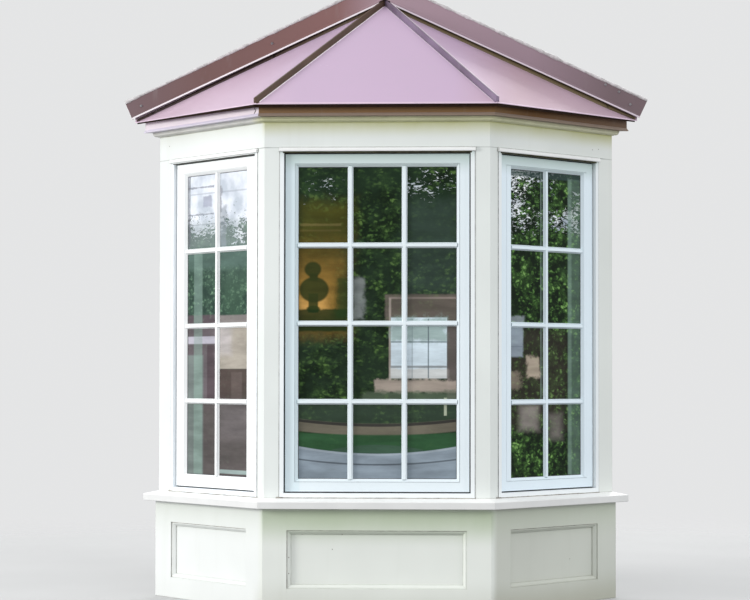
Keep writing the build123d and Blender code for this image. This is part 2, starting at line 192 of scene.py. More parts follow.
def mitred_ends(side: Side, block: Block, d: float, wall_gap: float) -> Pair:
    """Find where a level run along one side ends: mitred at the bends and short of the wall.

    Args:
        side: The side that the run follows.
        block: Extents of the piece whose mitres the run shares.
        d: Place of the run out of the side.
        wall_gap: How far the run stops short of the wall, along the side.

    Returns:
        The left and the right end along the side.
    """
    shift = (d - block.d1) * MITRE
    if side is Side.FRONT:
        half = block.u1 + shift
        return -half, half
    far = (WALL_Y + d * math.cos(SIDE_TURN)) / math.sin(SIDE_TURN) - wall_gap
    if side is Side.LEFT:
        return -far, block.u1 + shift
    return block.u0 - shift, far


def shaded(colour: Colour, factor: float) -> Colour:
    """A colour made lighter or darker, and never past white."""
    return tuple(min(1.0, c * factor) for c in colour)


class Graph:
    """A material's nodes, with short ways to add and join them."""

    def __init__(self, name: str) -> None:
        """Start a material with one Principled shader.

        Args:
            name: Name of the material.
        """
        self.material = bpy.data.materials.new(name)
        self.material.use_nodes = True
        self.tree = self.material.node_tree
        self.tree.nodes.clear()
        self.shader = self.node("ShaderNodeBsdfPrincipled")
        self.output = self.node("ShaderNodeOutputMaterial")
        self.join(self.shader.outputs["BSDF"], self.output.inputs["Surface"])
        self._place: Socket | None = None
        self._split: bpy.types.Node | None = None

    def node(self, kind: str, **settings: object) -> bpy.types.Node:
        """Add a node.

        Args:
            kind: Type name of the node.
            settings: Properties to set on it.

        Returns:
            The new node.
        """
        made = self.tree.nodes.new(kind)
        for key, value in settings.items():
            setattr(made, key, value)
        return made

    def join(self, source: Socket, target: Socket) -> None:
        """Link one socket to another."""
        self.tree.links.new(source, target)

    def feed(self, target: Socket, value: object) -> None:
        """Fill a socket.

        Args:
            target: The socket.
            value: A socket that is linked to it, or a plain value that is set on it.
        """
        if isinstance(value, bpy.types.NodeSocket):
            self.join(value, target)
        else:
            target.default_value = value

    def finish(self, colour: Socket, normal: Socket) -> bpy.types.Material:
        """Join the last colour and normal to the shader, and hand over the material."""
        self.join(colour, self.shader.inputs["Base Color"])
        self.join(normal, self.shader.inputs["Normal"])
        return self.material

    def set(self, **constants: object) -> None:
        """Set constants on the shader's own sockets, named with underscores for spaces."""
        for key, value in constants.items():
            self.shader.inputs[key.replace("_", " ")].default_value = value

    @property
    def place(self) -> Socket:
        """Place on the object in metres."""
        if self._place is None:
            self._place = self.node("ShaderNodeTexCoord").outputs["Object"]
        return self._place

    def axis(self, letter: str) -> Socket:
        """Read one coordinate of the place on the object.

        Args:
            letter: X, Y or Z.

        Returns:
            The coordinate in metres.
        """
        if self._split is None:
            self._split = self.node("ShaderNodeSeparateXYZ")
            self.join(self.place, self._split.inputs[0])
        return self._split.outputs[letter]

    def spread(self, stops: Stops) -> Socket:
        """Make a colour that changes across the bay.

        Args:
            stops: X of each stop, and its colour.

        Returns:
            The colour socket.
        """
        across = self.band(self.axis("X"), -HALF_WIDTH, HALF_WIDTH, smooth=False)
        return self.ramp(across, [((x + HALF_WIDTH) / (2 * HALF_WIDTH), tone) for x, tone in stops])

    def stretched(self, scale: Triple) -> Socket:
        """Stretch the place on the object along its axes.

        Args:
            scale: Factor along X, Y and Z.

        Returns:
            The vector socket.
        """
        mapping = self.node("ShaderNodeMapping", vector_type="POINT")
        self.join(self.place, mapping.inputs["Vector"])
        mapping.inputs["Scale"].default_value = scale
        return mapping.outputs["Vector"]

    def noise(self, scale: float, detail: float = 4.0, rough: float = 0.5, vector: Socket | None = None,
              distortion: float = 0.0) -> Socket:
        """Make fractal noise.

        Args:
            scale: Patches to the metre.
            detail: Octaves of finer noise.
            rough: Strength of the finer noise.
            vector: Where it is read, or None for the place on the object.
            distortion: How far the noise is bent.

        Returns:
            Its grey value.
        """
        made = self.node("ShaderNodeTexNoise")
        self.join(vector or self.place, made.inputs["Vector"])
        made.inputs["Scale"].default_value = scale
        made.inputs["Detail"].default_value = detail
        made.inputs["Roughness"].default_value = rough
        made.inputs["Distortion"].default_value = distortion
        return made.outputs["Fac"]

    def cells(self, scale: float, vector: Socket) -> bpy.types.Node:
        """Make a cell pattern.

        Args:
            scale: Cells to the metre.
            vector: Where it is read.

        Returns:
            The node, with Distance and Color outputs.
        """
        made = self.node("ShaderNodeTexVoronoi", feature="F1")
        self.join(vector, made.inputs["Vector"])
        made.inputs["Scale"].default_value = scale
        return made

    def math(self, operation: str, first: object, second: object = 0.0, clamp: bool = False) -> Socket:
        """Do arithmetic on two numbers or sockets.

        Args:
            operation: Name of the operation.
            first: First number or socket.
            second: Second number or socket.
            clamp: Whether the result is kept from 0 to 1.

        Returns:
            The result.
        """
        made = self.node("ShaderNodeMath", operation=operation, use_clamp=clamp)
        self.feed(made.inputs[0], first)
        self.feed(made.inputs[1], second)
        return made.outputs[0]

    def times(self, first: object, second: object, *more: object) -> Socket:
        """Multiply two or more numbers or sockets.

        Args:
            first: First number or socket.
            second: Second number or socket.
            more: Further ones.

        Returns:
            The product.
        """
        result = self.math("MULTIPLY", first, second)
        for factor in more:
            result = self.math("MULTIPLY", result, factor)
        return result

    def plus(self, first: object, second: object) -> Socket:
        """Sum of two numbers or sockets."""
        return self.math("ADD", first, second)

    def minus(self, first: object, second: object) -> Socket:
        """Difference of two numbers or sockets."""
        return self.math("SUBTRACT", first, second)

    def band(self, value: Socket, low: float, high: float, to_low: float = 0.0, to_high: float = 1.0,
             smooth: bool = True) -> Socket:
        """Step from one number to another.

        Args:
            value: What decides how far the step has gone.
            low: Value at which it starts.
            high: Value at which it ends.
            to_low: Result up to the start.
            to_high: Result from the end on.
            smooth: Whether the step eases in and out.

        Returns:
            The result.
        """
        made = self.node("ShaderNodeMapRange", interpolation_type="SMOOTHSTEP" if smooth else "LINEAR")
        self.join(value, made.inputs["Value"])
        for key, number in zip(("From Min", "From Max", "To Min", "To Max"), (low, high, to_low, to_high)):
            made.inputs[key].default_value = number
        return made.outputs["Result"]

    def ramp(self, value: Socket, stops: list[tuple[float, Colour]]) -> Socket:
        """Make a colour ramp.

        Args:
            value: Position on the ramp.
            stops: Position and colour of each stop.

        Returns:
            The colour socket.
        """
        made = self.node("ShaderNodeValToRGB")
        self.join(value, made.inputs["Fac"])
        elements = made.color_ramp.elements
        while len(elements) < len(stops):
            elements.new(0.5)
        for element, (position, colour) in zip(elements, stops):
            element.position = position
            element.color = (*colour, 1)
        return made.outputs["Color"]

    def mix(self, share: object, first: object, second: object, blend: str = "MIX") -> Socket:
        """Mix two colours.

        Args:
            share: Share of the second colour, from 0 to 1.
            first: First colour or socket.
            second: Second colour or socket.
            blend: Name of the blend.

        Returns:
            The mixed colour.
        """
        made = self.node("ShaderNodeMix", data_type="RGBA", blend_type=blend)
        self.feed(made.inputs[0], share)
        for socket, value in ((made.inputs[6], first), (made.inputs[7], second)):
            self.feed(socket, value if isinstance(value, bpy.types.NodeSocket) else (*value, 1))
        return made.outputs[2]

    def bump(self, height: Socket, distance: float, strength: float = 1.0,
             after: Socket | None = None) -> Socket:
        """Bend the surface by a height.

        Args:
            height: Grey height from 0 to 1.
            distance: Depth of a full step in metres.
            strength: Share of the effect.
            after: A normal that is bent further, or None.

        Returns:
            The bent normal.
        """
        made = self.node("ShaderNodeBump")
        made.inputs["Strength"].default_value = strength
        made.inputs["Distance"].default_value = distance
        self.join(height, made.inputs["Height"])
        if after is not None:
            self.join(after, made.inputs["Normal"])
        return made.outputs["Normal"]

    def soft_edges(self, radius: float) -> Socket:
        """Normal that rounds sharp edges to a small radius."""
        made = self.node("ShaderNodeBevel", samples=4)
        made.inputs["Radius"].default_value = radius
        return made.outputs["Normal"]

    def crevice(self, distance: float) -> Socket:
        """How closed in a place is, from 0 in the open to 1 in a corner."""
        made = self.node("ShaderNodeAmbientOcclusion", samples=6, only_local=False)
        made.inputs["Distance"].default_value = distance
        return self.math("SUBTRACT", 1.0, made.outputs["AO"], clamp=True)


@dataclass(frozen=True)
class Finish:
    """Something a surface is finished with."""

    name: str
    slot: str

    def material(self) -> bpy.types.Material:
        """Make the material."""
        raise NotImplementedError


@dataclass(frozen=True)
class Stain:
    """A band of grime under a ledge.

    Attributes:
        ledge: Height of the ledge's underside.
        reach: How far down the stain goes.
        share: Strength right under the ledge.
    """

    ledge: float
    reach: float
    share: float


@dataclass(frozen=True)
class Paint(Finish):
    """Exterior paint on timber: brush marks, dust and painted shade in the corners, and grime under ledges.

    Attributes:
        grime: Colour of the stains.
        clean_left: X of the left bend, past which the stains are weaker.
        left_share: Share of the stains past the left bend.
        right_share: Share of the stains past the right bend.
        tones: Tint across the bay, most of it painted light and shade: lighter left, darker right.
        shade_rungs: Heights and shares of painted shade lines along a moulding.
        shade_rungs_left: The same past the left bend.
        shade_rung_right: Strength of those painted shade lines right of the left bend.
    """

    colour: Colour = (0.765, 0.795, 0.78)
    grime: Colour = (0.45, 0.485, 0.27)
    shine: Shine = Shine.SATIN
    grain: Triple = (9.0, 9.0, 0.8)
    stains: tuple[Stain, ...] = ()
    joints: tuple[float, ...] = ()
    clean_left: float = -0.45
    left_share: float = 0.16
    right_share: float = 1.0
    splash: float = 0.0
    tones: Stops = ()
    shade_rungs: tuple[Pair, ...] = ()
    shade_rungs_left: tuple[Pair, ...] = ()
    shade_rung_colour: Colour = (0.07, 0.066, 0.045)
    shade_rung_right: float = 1.0
    dirt_and_shade: float = 1.0
    streak_colour: Colour = (0.6, 0.62, 0.56)
    dust_and_shade_colour: Colour = (0.4, 0.41, 0.31)
    crack_and_shade_colour: Colour = (0.19, 0.19, 0.13)
    splash_colour: Colour = (0.36, 0.36, 0.28)
    joint_colour: Colour = (0.22, 0.235, 0.22)
    joint_half: Pair = (0.001, 0.0024)
    edge_radius: float = 0.0012

    def material(self) -> bpy.types.Material:
        """Make the material.

        Returns:
            The paint, from its base colour to its brush marks.
        """
        g = Graph(self.name)
        patches = g.noise(scale=2.2, detail=3.0, rough=0.55)
        colour = g.ramp(patches, [(0.35, shaded(self.colour, 0.965)), (0.65, shaded(self.colour, 1.03))])
        streaks = g.noise(scale=14.0, detail=4.0, rough=0.6, vector=g.stretched((1.0, 1.0, 0.06)))
        colour = g.mix(g.band(streaks, 0.56, 0.75, to_high=0.12), colour, self.streak_colour)
        # Tint across the bay, most of it painted light and shade on each side.
        if self.tones:
            colour = g.mix(1.0, colour, g.spread(self.tones), "MULTIPLY")
        colour = self._dust_and_shade(g, colour)
        colour = self._stained(g, colour)
        colour = self._shade_rungs(g, colour)
        colour = self._splashed(g, colour, patches)
        colour = self._jointed(g, colour)
        g.set(Roughness=self.shine.value, Specular_IOR_Level=0.4)
        brush = g.noise(scale=160.0, detail=3.0, rough=0.6, vector=g.stretched(self.grain))
        return g.finish(colour, g.bump(brush, 0.0004, 0.35, g.soft_edges(self.edge_radius)))

    def _dust_and_shade(self, g: Graph, colour: Socket) -> Socket:
        """Lay dust and painted shade in corners, and a broken line of painted shade in the closest ones.

        Args:
            g: The material's nodes.
            colour: The colour so far.

        Returns:
            The colour with the dust.
        """
        # Painted shade, with some dust: the crevice node darkens corners and the steps of mouldings.
        corner = g.band(g.crevice(0.02), 0.35, 0.95)
        colour = g.mix(g.times(corner, 0.3 * self.dirt_and_shade), colour, self.dust_and_shade_colour)
        line = g.band(g.crevice(0.006), 0.16, 0.46)
        gaps = g.noise(scale=16.0, detail=3.0, rough=0.6)
        broken = g.band(gaps, 0.3, 0.7, 0.3 * self.dirt_and_shade, 0.8 * self.dirt_and_shade)
        return g.mix(g.times(line, broken), colour, self.crack_and_shade_colour)

    def _stained(self, g: Graph, colour: Socket) -> Socket:
        """Lay the grime bands over a colour.

        Args:
            g: The material's nodes.
            colour: The colour so far.

        Returns:
            The colour with the grime.
        """
        if not self.stains:
            return colour
        height = g.axis("Z")
        wash = g.noise(scale=7.0, detail=5.0, rough=0.62, vector=g.stretched((1.0, 1.0, 0.35)))
        uneven = g.band(wash, 0.25, 0.75, 0.86, 1.12)
        edge = self.clean_left
        left = g.band(g.axis("X"), edge - 0.012, edge + 0.012, self.left_share, 1.0)
        right = g.band(g.axis("X"), -edge - 0.004, -edge + 0.02, 1.0, self.right_share)
        # Share of the stains on each side of the bay.
        weather = g.times(left, right)
        for stain in self.stains:
            fade = g.band(height, stain.ledge - stain.reach, stain.ledge)
            below = g.band(height, stain.ledge, stain.ledge + 0.004, 1.0, 0.0)
            share = g.times(g.times(fade, below), g.times(uneven, weather))
            colour = g.mix(g.math("MULTIPLY", share, stain.share, clamp=True), colour, self.grime)
        return colour

    @staticmethod
    def _shade_rung_share(g: Graph, shade_rungs: tuple[Pair, ...]) -> Socket:
        """Share of the painted shade at each height."""
        low, high = shade_rungs[0][0], shade_rungs[-1][0]
        stops = [((z - low) / (high - low), (share, share, share)) for z, share in shade_rungs]
        return g.ramp(g.band(g.axis("Z"), low, high, smooth=False), stops)

    def _shade_rungs(self, g: Graph, colour: Socket) -> Socket:
        """Lay painted shade lines along a moulding.

        Args:
            g: The material's nodes.
            colour: The colour so far.

        Returns:
            The colour with the lines.
        """
        if not self.shade_rungs:
            return colour
        # Painted shade: dark lines by height, where the moulding's shade falls.
        share = self._shade_rung_share(g, self.shade_rungs)
        edge = self.clean_left
        if self.shade_rungs_left:
            right = g.band(g.axis("X"), edge - 0.012, edge)
            share = g.mix(right, self._shade_rung_share(g, self.shade_rungs_left), share)
        uneven = g.band(g.noise(scale=8.0, detail=4.0, rough=0.6), 0.3, 0.7, 0.8, 1.0)
        weight = g.band(g.axis("X"), edge - 0.02, edge, 1.0, self.shade_rung_right)
        return g.mix(g.times(share, uneven, weight), colour, self.shade_rung_colour)

    def _splashed(self, g: Graph, colour: Socket, patches: Socket) -> Socket:
        """Lay splashes along the foot: less on the left as painted light, more on the right as painted
        shade.

        Args:
            g: The material's nodes.
            colour: The colour so far.
            patches: Noise that makes their edge wander.

        Returns:
            The colour with the splashes.
        """
        if not self.splash:
            return colour
        height = g.plus(g.axis("Z"), g.times(patches, 0.05))
        wet = g.band(height, 0.02, 0.02 + self.splash, 1.0, 0.0)
        # Painted light on the lit left, and painted shade doubling the splashes on the right.
        wet = g.times(wet, g.band(g.axis("X"), -0.5, -0.46, 0.2, 1.0))
        wet = g.times(wet, g.band(g.axis("X"), 0.44, 0.47, 1.0, 2.0))
        return g.mix(g.times(wet, 0.32), colour, self.splash_colour)

    def _jointed(self, g: Graph, colour: Socket) -> Socket:
        """Draw the open joints between boards as thin broken lines.

        Args:
            g: The material's nodes.
            colour: The colour so far.

        Returns:
            The colour with the joints.
        """
        for joint in self.joints:
            gap = g.math("ABSOLUTE", g.minus(g.axis("Z"), joint))
            broken = g.band(g.noise(scale=9.0, detail=2.0), 0.4, 0.6, 0.35, 0.8)
            line = g.times(g.band(gap, *self.joint_half, 1.0, 0.0), broken)
            colour = g.mix(line, colour, self.joint_colour)
        return colour


@dataclass(frozen=True)
class Vinyl(Finish):
    """Extruded window profile: smooth and slightly cool, with faint dust and painted shade in the corners.

    Attributes:
        head: Height from which the painted shade under the window head is full.
        tones: Tint across the bay, used as painted shade on one side.
    """

    colour: Colour = (0.755, 0.83, 0.87)
    shine: Shine = Shine.GLOSSY
    head: float = 1.79
    head_shade_colour: Colour = (0.45, 0.565, 0.52)
    tones: Stops = ()
    dirt_and_shade: float = 0.5
    dust_and_shade_colour: Colour = (0.24, 0.27, 0.26)
    edge_radius: float = 0.001

    def material(self) -> bpy.types.Material:
        """Make the material.

        Returns:
            The vinyl.
        """
        g = Graph(self.name)
        cloud = g.noise(scale=3.0, detail=2.0)
        colour = g.ramp(cloud, [(0.3, shaded(self.colour, 0.975)), (0.7, shaded(self.colour, 1.02))])
        if self.tones:
            colour = g.mix(1.0, colour, g.spread(self.tones), "MULTIPLY")
        # Painted shade: darker and greener towards the window head.
        high = g.band(g.axis("Z"), self.head - 0.09, self.head)
        colour = g.mix(g.times(high, 0.8), colour, self.head_shade_colour)
        # Painted shade, with faint dust, in the corners.
        corner = g.band(g.crevice(0.007), 0.3, 0.75)
        colour = g.mix(g.times(corner, self.dirt_and_shade), colour, self.dust_and_shade_colour)
        g.set(Roughness=self.shine.value, Specular_IOR_Level=0.5)
        peel = g.noise(scale=420.0, detail=2.0)
        return g.finish(colour, g.bump(peel, 0.0001, 0.2, g.soft_edges(self.edge_radius)))


@dataclass(frozen=True)
class Sheet(Finish):
    """Coated sheet metal: soft metallic lustre, slight waves, rain streaks and dust, and painted shade in
    corners.

    Attributes:
        wave: Depth of its waves.
        hem_highlight_top: Height up to which the painted highlight on the hem reaches.
    """

    colour: Colour = (0.5, 0.38, 0.5)
    shade: Colour = (0.42, 0.33, 0.4)
    metallic: float = 0.55
    roughness: float = 0.36
    wave: float = 0.0015
    specks: float = 0.0
    gloss: float = 0.5
    spread: Stops = ()
    hem: Colour | None = None
    hem_highlight_top: float = 0.0
    dirt_and_shade: float = 0.7
    dirt_and_shade_colour: Colour = (0.05, 0.036, 0.03)
    speck_colour: Colour = (0.85, 0.83, 0.86)
    dust_grey: float = 0.45
    edge_radius: float = 0.0015

    def material(self) -> bpy.types.Material:
        """Make the material.

        Returns:
            The coated metal.
        """
        g = Graph(self.name)
        drift = g.noise(scale=3.4, detail=4.0, rough=0.6, distortion=0.4)
        colour = g.ramp(drift, [(0.3, self.shade), (0.7, self.colour)])
        # Colour across the bay: painted light and reflection on each side.
        if self.spread:
            colour = g.mix(0.8, colour, g.spread(self.spread))
        # Painted highlight along the hem's low edge.
        if self.hem is not None:
            low = g.band(g.axis("Z"), self.hem_highlight_top - 0.001, self.hem_highlight_top + 0.001, 1.0, 0.0)
            colour = g.mix(low, colour, self.hem)
        rain = g.noise(scale=30.0, detail=3.0, rough=0.6, vector=g.stretched((1.0, 1.0, 0.12)))
        dust = tuple(0.6 * c + 0.4 * self.dust_grey for c in self.colour)
        colour = g.mix(g.band(rain, 0.55, 0.8, to_high=0.22), colour, dust)
        # Painted shade, with some dirt, in the corners and under hems.
        corner = g.band(g.crevice(0.014), 0.4, 0.95)
        colour = g.mix(g.times(corner, self.dirt_and_shade), colour, self.dirt_and_shade_colour)
        if self.specks:
            dots = g.band(g.cells(34.0, g.place).outputs["Distance"], 0.05, 0.075, 1.0, 0.0)
            few = g.band(g.noise(scale=5.5, detail=2.0), 0.6, 0.64)
            colour = g.mix(g.times(dots, few, self.specks), colour, self.speck_colour)
        g.set(Metallic=self.metallic, Specular_IOR_Level=self.gloss)
        rough = g.band(drift, 0.2, 0.8, self.roughness - 0.06, self.roughness + 0.08)
        g.join(rough, g.shader.inputs["Roughness"])
        waves = g.noise(scale=2.6, detail=1.0, rough=0.4)
        normal = g.bump(waves, self.wave, 0.6, g.soft_edges(self.edge_radius))
        return g.finish(colour, g.bump(g.noise(scale=900.0, detail=2.0), 0.00008, 0.3, normal))


@dataclass(frozen=True)
class Patch:
    """Painted patch in a pane: part of its painted reflections and of the painted, lit room behind.

    Attributes:
        x0: Left edge across the whole bay.
        x1: Right edge.
        z0: Foot.
        z1: Head.
        colour: Its colour.
        share: Its strength.
        ragged: How far its edges wander, in metres.
        soft: How far its edges fade, in metres.
        bow: How far its middle hangs, for each metre squared from the middle of the bay.
        oval: Whether it is an oval that fills the outline.
    """

    x0: float
    x1: float
    z0: float
    z1: float
    colour: Colour
    share: float = 0.85
    ragged: float = 0.0
    soft: float = 0.002
    bow: float = 0.0
    oval: bool = False


@dataclass(frozen=True)
class Pane(Finish):
    """Sealed glazing unit: dark glass with painted reflections of leaves and sky, and painted patches in it.

    Attributes:
        sky_reflection_share: Share of painted sky reflection in the top lights.
        sky_reflection_foot: Height under which there is no painted sky reflection.
        sky_reflection_rise: Height over which the painted sky reflection opens.
        sky_reflection_open: How much more it opens over the next such height.
        sky_reflection_tones: Darker and lighter colour of the painted sky reflection.
        light: Colour of the brightest painted leaves.
        leaf_reflection: Colour of most of the painted leaves.
        shadow: Colour between the painted leaves.
        top_tone: Calm colour of the upper lights.
        low_tone: Calm colour of the middle lights.
        leaf_reflection_scale: Painted leaves to the metre.
        calm: How much of the painted leaves is lost in the calm parts.
        lit_from: Noise level from which the painted leaves are lit.
        patches: Painted patches of reflection and of the room behind, laid one over another.
        cover: How little shows through.
    """

    sky_reflection_share: float = 0.12
    sky_reflection_foot: float = 1.25
    sky_reflection_rise: float = 0.45
    sky_reflection_open: float = 0.0
    sky_reflection_tones: tuple[Colour, Colour] = ((0.42, 0.48, 0.52), (0.82, 0.86, 0.9))
    light: Colour = (0.105, 0.185, 0.05)
    leaf_reflection: Colour = (0.038, 0.08, 0.022)
    shadow: Colour = (0.006, 0.014, 0.006)
    top_tone: Colour = (0.016, 0.036, 0.018)
    low_tone: Colour = (0.018, 0.035, 0.02)
    leaf_reflection_scale: float = 46.0
    calm: float = 0.62
    lit_from: float = 0.44
    patches: tuple[Patch, ...] = ()
    cover: float = 0.99

    def material(self) -> bpy.types.Material:
        """Make the material.

        Returns:
            The glass.
        """
        g = Graph(self.name)
        height = g.axis("Z")
        colour = self._painted_sky_reflection(g, self._leaf_reflections(g, height), height)
        edges = g.minus(g.noise(scale=26.0, detail=5.0, rough=0.7), 0.5)
        streaks = g.noise(scale=9.0, detail=5.0, rough=0.6, vector=g.stretched((0.5, 0.5, 2.2)))
        grey = g.band(streaks, 0.25, 0.75, 0.62, 1.0)
        for patch in self.patches:
            colour = self._patched(g, colour, patch, edges, grey)
        g.set(Roughness=0.04, IOR=1.45, Specular_IOR_Level=0.1, Alpha=self.cover)
        return g.finish(colour, g.bump(g.noise(scale=5.0, detail=1.0, rough=0.4), 0.0006, 0.3))

    def _leaf_reflections(self, g: Graph, height: Socket) -> Socket:
        """Make clumps of painted leaf reflection over a calm tone.

        Args:
            g: The material's nodes.
            height: Height on the object.

        Returns:
            The colour.
        """
        # Painted reflection of leaves, in lit and shaded clumps.
        bend = g.node("ShaderNodeTexNoise")
        g.join(g.stretched((1.0, 1.0, 1.35)), bend.inputs["Vector"])
        bend.inputs["Scale"].default_value = 34.0
        bend.inputs["Detail"].default_value = 3.0
        moved = g.node("ShaderNodeVectorMath", operation="MULTIPLY_ADD")
        g.join(bend.outputs["Color"], moved.inputs[0])
        moved.inputs[1].default_value = (0.05, 0.05, 0.05)
        g.join(g.stretched((1.0, 1.0, 1.5)), moved.inputs[2])
        cells = g.cells(self.leaf_reflection_scale, moved.outputs[0])
        tint = g.node("ShaderNodeSeparateColor")
        g.join(cells.outputs["Color"], tint.inputs[0])
        rim = g.band(cells.outputs["Distance"], 0.2, 0.6, 1.0, 0.35)
        fine = g.minus(g.noise(scale=17.0, detail=6.0, rough=0.7), 0.5)
        masses = g.noise(scale=4.4, detail=4.0, rough=0.6)
        level = g.plus(g.times(tint.outputs[0], rim, 0.75), g.times(fine, 1.9))
        mid = tuple(0.3 * a + 0.7 * b for a, b in zip(self.leaf_reflection, self.shadow))
        green = g.ramp(level, [(0.04, self.shadow), (0.26, mid), (0.5, self.leaf_reflection), (0.86, self.light)])
        tone = g.mix(g.band(height, 1.2, 1.62), self.low_tone, self.top_tone)
        lit = g.band(masses, self.lit_from, self.lit_from + 0.16)
        return g.mix(lit, g.mix(self.calm, green, tone), green)

    def _painted_sky_reflection(self, g: Graph, colour: Socket, height: Socket) -> Socket:
        """Break painted sky reflection through the painted leaves of the upper lights.

        Args:
            g: The material's nodes.
            colour: The colour so far.
            height: Height on the object.

        Returns:
            The colour with the painted sky reflection.
        """
        # Painted reflection of the sky, breaking through the upper lights.
        foot, rise = self.sky_reflection_foot, self.sky_reflection_rise
        up = g.band(height, foot, foot + rise)
        clumps = g.minus(g.noise(scale=7.0, detail=2.0), 0.5)
        holes = g.noise(scale=50.0, detail=5.0, rough=0.7, vector=g.stretched((0.75, 0.75, 1.7)),
                        distortion=1.2)
        level = g.plus(holes, g.times(clumps, 0.6))
        if self.sky_reflection_open:
            open_share = g.band(height, foot + 0.6 * rise, foot + 1.2 * rise, to_high=self.sky_reflection_open)
            level = g.plus(level, open_share)
        limit = 0.74 - 0.36 * self.sky_reflection_share
        edge = g.minus(level, g.plus(limit, g.times(g.minus(1.0, up), 0.3)))
        share = g.times(g.band(edge, 0.0, 0.05), g.band(height, foot - 0.03, foot))
        dark, bright = self.sky_reflection_tones
        tone = g.ramp(g.noise(scale=11.0, detail=3.0), [(0.35, dark), (0.65, bright)])
        return g.mix(share, colour, tone)

    def _patched(self, g: Graph, colour: Socket, patch: Patch, edges: Socket, grey: Socket) -> Socket:
        """Lay one painted patch.

        Args:
            g: The material's nodes.
            colour: The colour so far.
            patch: The painted patch.
            edges: Noise round 0 that makes its edges wander.
            grey: Streaks that it is multiplied by.

        Returns:
            The colour with the painted patch.
        """
        x, z = g.axis("X"), g.axis("Z")
        if patch.bow:
            z = g.minus(z, g.times(x, x, patch.bow))
        sides = g.math("MINIMUM", g.minus(x, patch.x0), g.minus(patch.x1, x))
        ends = g.math("MINIMUM", g.minus(z, patch.z0), g.minus(patch.z1, z))
        inside = g.math("MINIMUM", sides, ends)
        if patch.oval:
            wide, tall = (patch.x1 - patch.x0) / 2, (patch.z1 - patch.z0) / 2
            far = g.math("DIVIDE", g.minus(x, patch.x0 + wide), wide)
            high = g.math("DIVIDE", g.minus(z, patch.z0 + tall), tall)
            reach = g.math("SQRT", g.plus(g.times(far, far), g.times(high, high)))
            inside = g.times(g.minus(1.0, reach), min(wide, tall))
        if patch.ragged:
            inside = g.plus(inside, g.times(edges, 4.0 * patch.ragged))
        share = g.band(inside, -patch.soft, patch.soft, to_high=patch.share)
        return g.mix(share, colour, g.mix(1.0, patch.colour, grey, "MULTIPLY"))


@dataclass(frozen=True)
class Timber(Finish):
    """Bare softwood or plywood inside the head and under the roof."""

    colour: Colour = (0.52, 0.36, 0.2)
    dark: Colour = (0.36, 0.23, 0.12)
    grain: Triple = (1.2, 14.0, 14.0)
    shine: Shine = Shine.BARE

    def material(self) -> bpy.types.Material:
        """Make the material.

        Returns:
            The timber.
        """
        g = Graph(self.name)
        rings = g.noise(scale=5.0, detail=6.0, rough=0.62, vector=g.stretched(self.grain), distortion=0.6)
        colour = g.ramp(rings, [(0.3, self.dark), (0.5, self.colour), (0.75, shaded(self.colour, 1.15))])
        g.set(Roughness=self.shine.value)
        return g.finish(colour, g.bump(rings, 0.0008, 0.5))


@dataclass(frozen=True)
class Rubber(Finish):
    """Sealant, gasket, rust or shadow gap: one soft colour with small lumps."""

    colour: Colour = (0.05, 0.055, 0.06)
    lighter: Colour = (0.08, 0.085, 0.09)
    shine: Shine = Shine.MATTE
    lumps: float = 60.0
    gloss: float = 0.5

    def material(self) -> bpy.types.Material:
        """Make the material.

        Returns:
            The soft material.
        """
        g = Graph(self.name)
        cloud = g.noise(scale=self.lumps, detail=4.0, rough=0.6)
        colour = g.ramp(cloud, [(0.35, self.colour), (0.65, self.lighter)])
        g.set(Roughness=self.shine.value, Specular_IOR_Level=self.gloss)
        return g.finish(colour, g.bump(cloud, 0.0008, 0.5))


class Workshop:
    """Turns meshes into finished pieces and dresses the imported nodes."""

    def __init__(self) -> None:
        """Start with no materials made."""
        self._materials: dict[str, bpy.types.Material] = {}
        self.pieces = 0

    def material(self, finish: Finish) -> bpy.types.Material:
        """The material of a finish, made once."""
        if finish.name not in self._materials:
            self._materials[finish.name] = finish.material()
        return self._materials[finish.name]

    def dress(self, node: str, finish: Finish) -> None:
        """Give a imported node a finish."""
        mesh = mesh_of(node)
        mesh.materials.clear()
        mesh.materials.append(self.material(finish))

    def dress_all(self, finishes: dict[str, Finish]) -> None:
        """Dress every node whose name starts with a given text.

        Args:
            finishes: Start of the names, and their finish. A later one wins.
        """
        for node in frame["nodes"]:
            for start, finish in finishes.items():
                if node.startswith(start):
                    self.dress(node, finish)

    def add(self, name: str, bm: bmesh.types.BMesh, finish: Finish, smooth: bool = False) -> None:
        """Make a piece from a mesh.

        Args:
            name: Name of the piece.
            bm: Its mesh, which is used up.
            finish: Its finish.
            smooth: Whether its faces are shaded smoothly.
        """
        bmesh.ops.remove_doubles(bm, verts=bm.verts, dist=1e-6)
        bmesh.ops.recalc_face_normals(bm, faces=bm.faces)
        for face in bm.faces:
            face.smooth = smooth
        mesh = bpy.data.meshes.new(name)
        bm.to_mesh(mesh)
        bm.free()
        mesh.materials.append(self.material(finish))
        piece = bpy.data.objects.new(name, mesh)
        bpy.context.scene.collection.objects.link(piece)
        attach(piece, BODY)
        self.pieces += 1
        LOG.info("piece %s: %d faces", name, len(mesh.polygons))


def add_loft(bm: bmesh.types.BMesh, rings: list[list[Vector]]) -> None:
    """Add a closed solid through sections with the same number of corners.

    Args:
        bm: Mesh that gets the solid.
        rings: Corners of each section, from one end to the other.
    """
    loops = [[bm.verts.new(corner) for corner in ring] for ring in rings]
    count = len(loops[0])
    for here, there in zip(loops, loops[1:]):
        for k in range(count):
            n = (k + 1) % count
            bm.faces.new((here[k], here[n], there[n], there[k]))
    bm.faces.new(loops[0])
    bm.faces.new(list(reversed(loops[-1])))


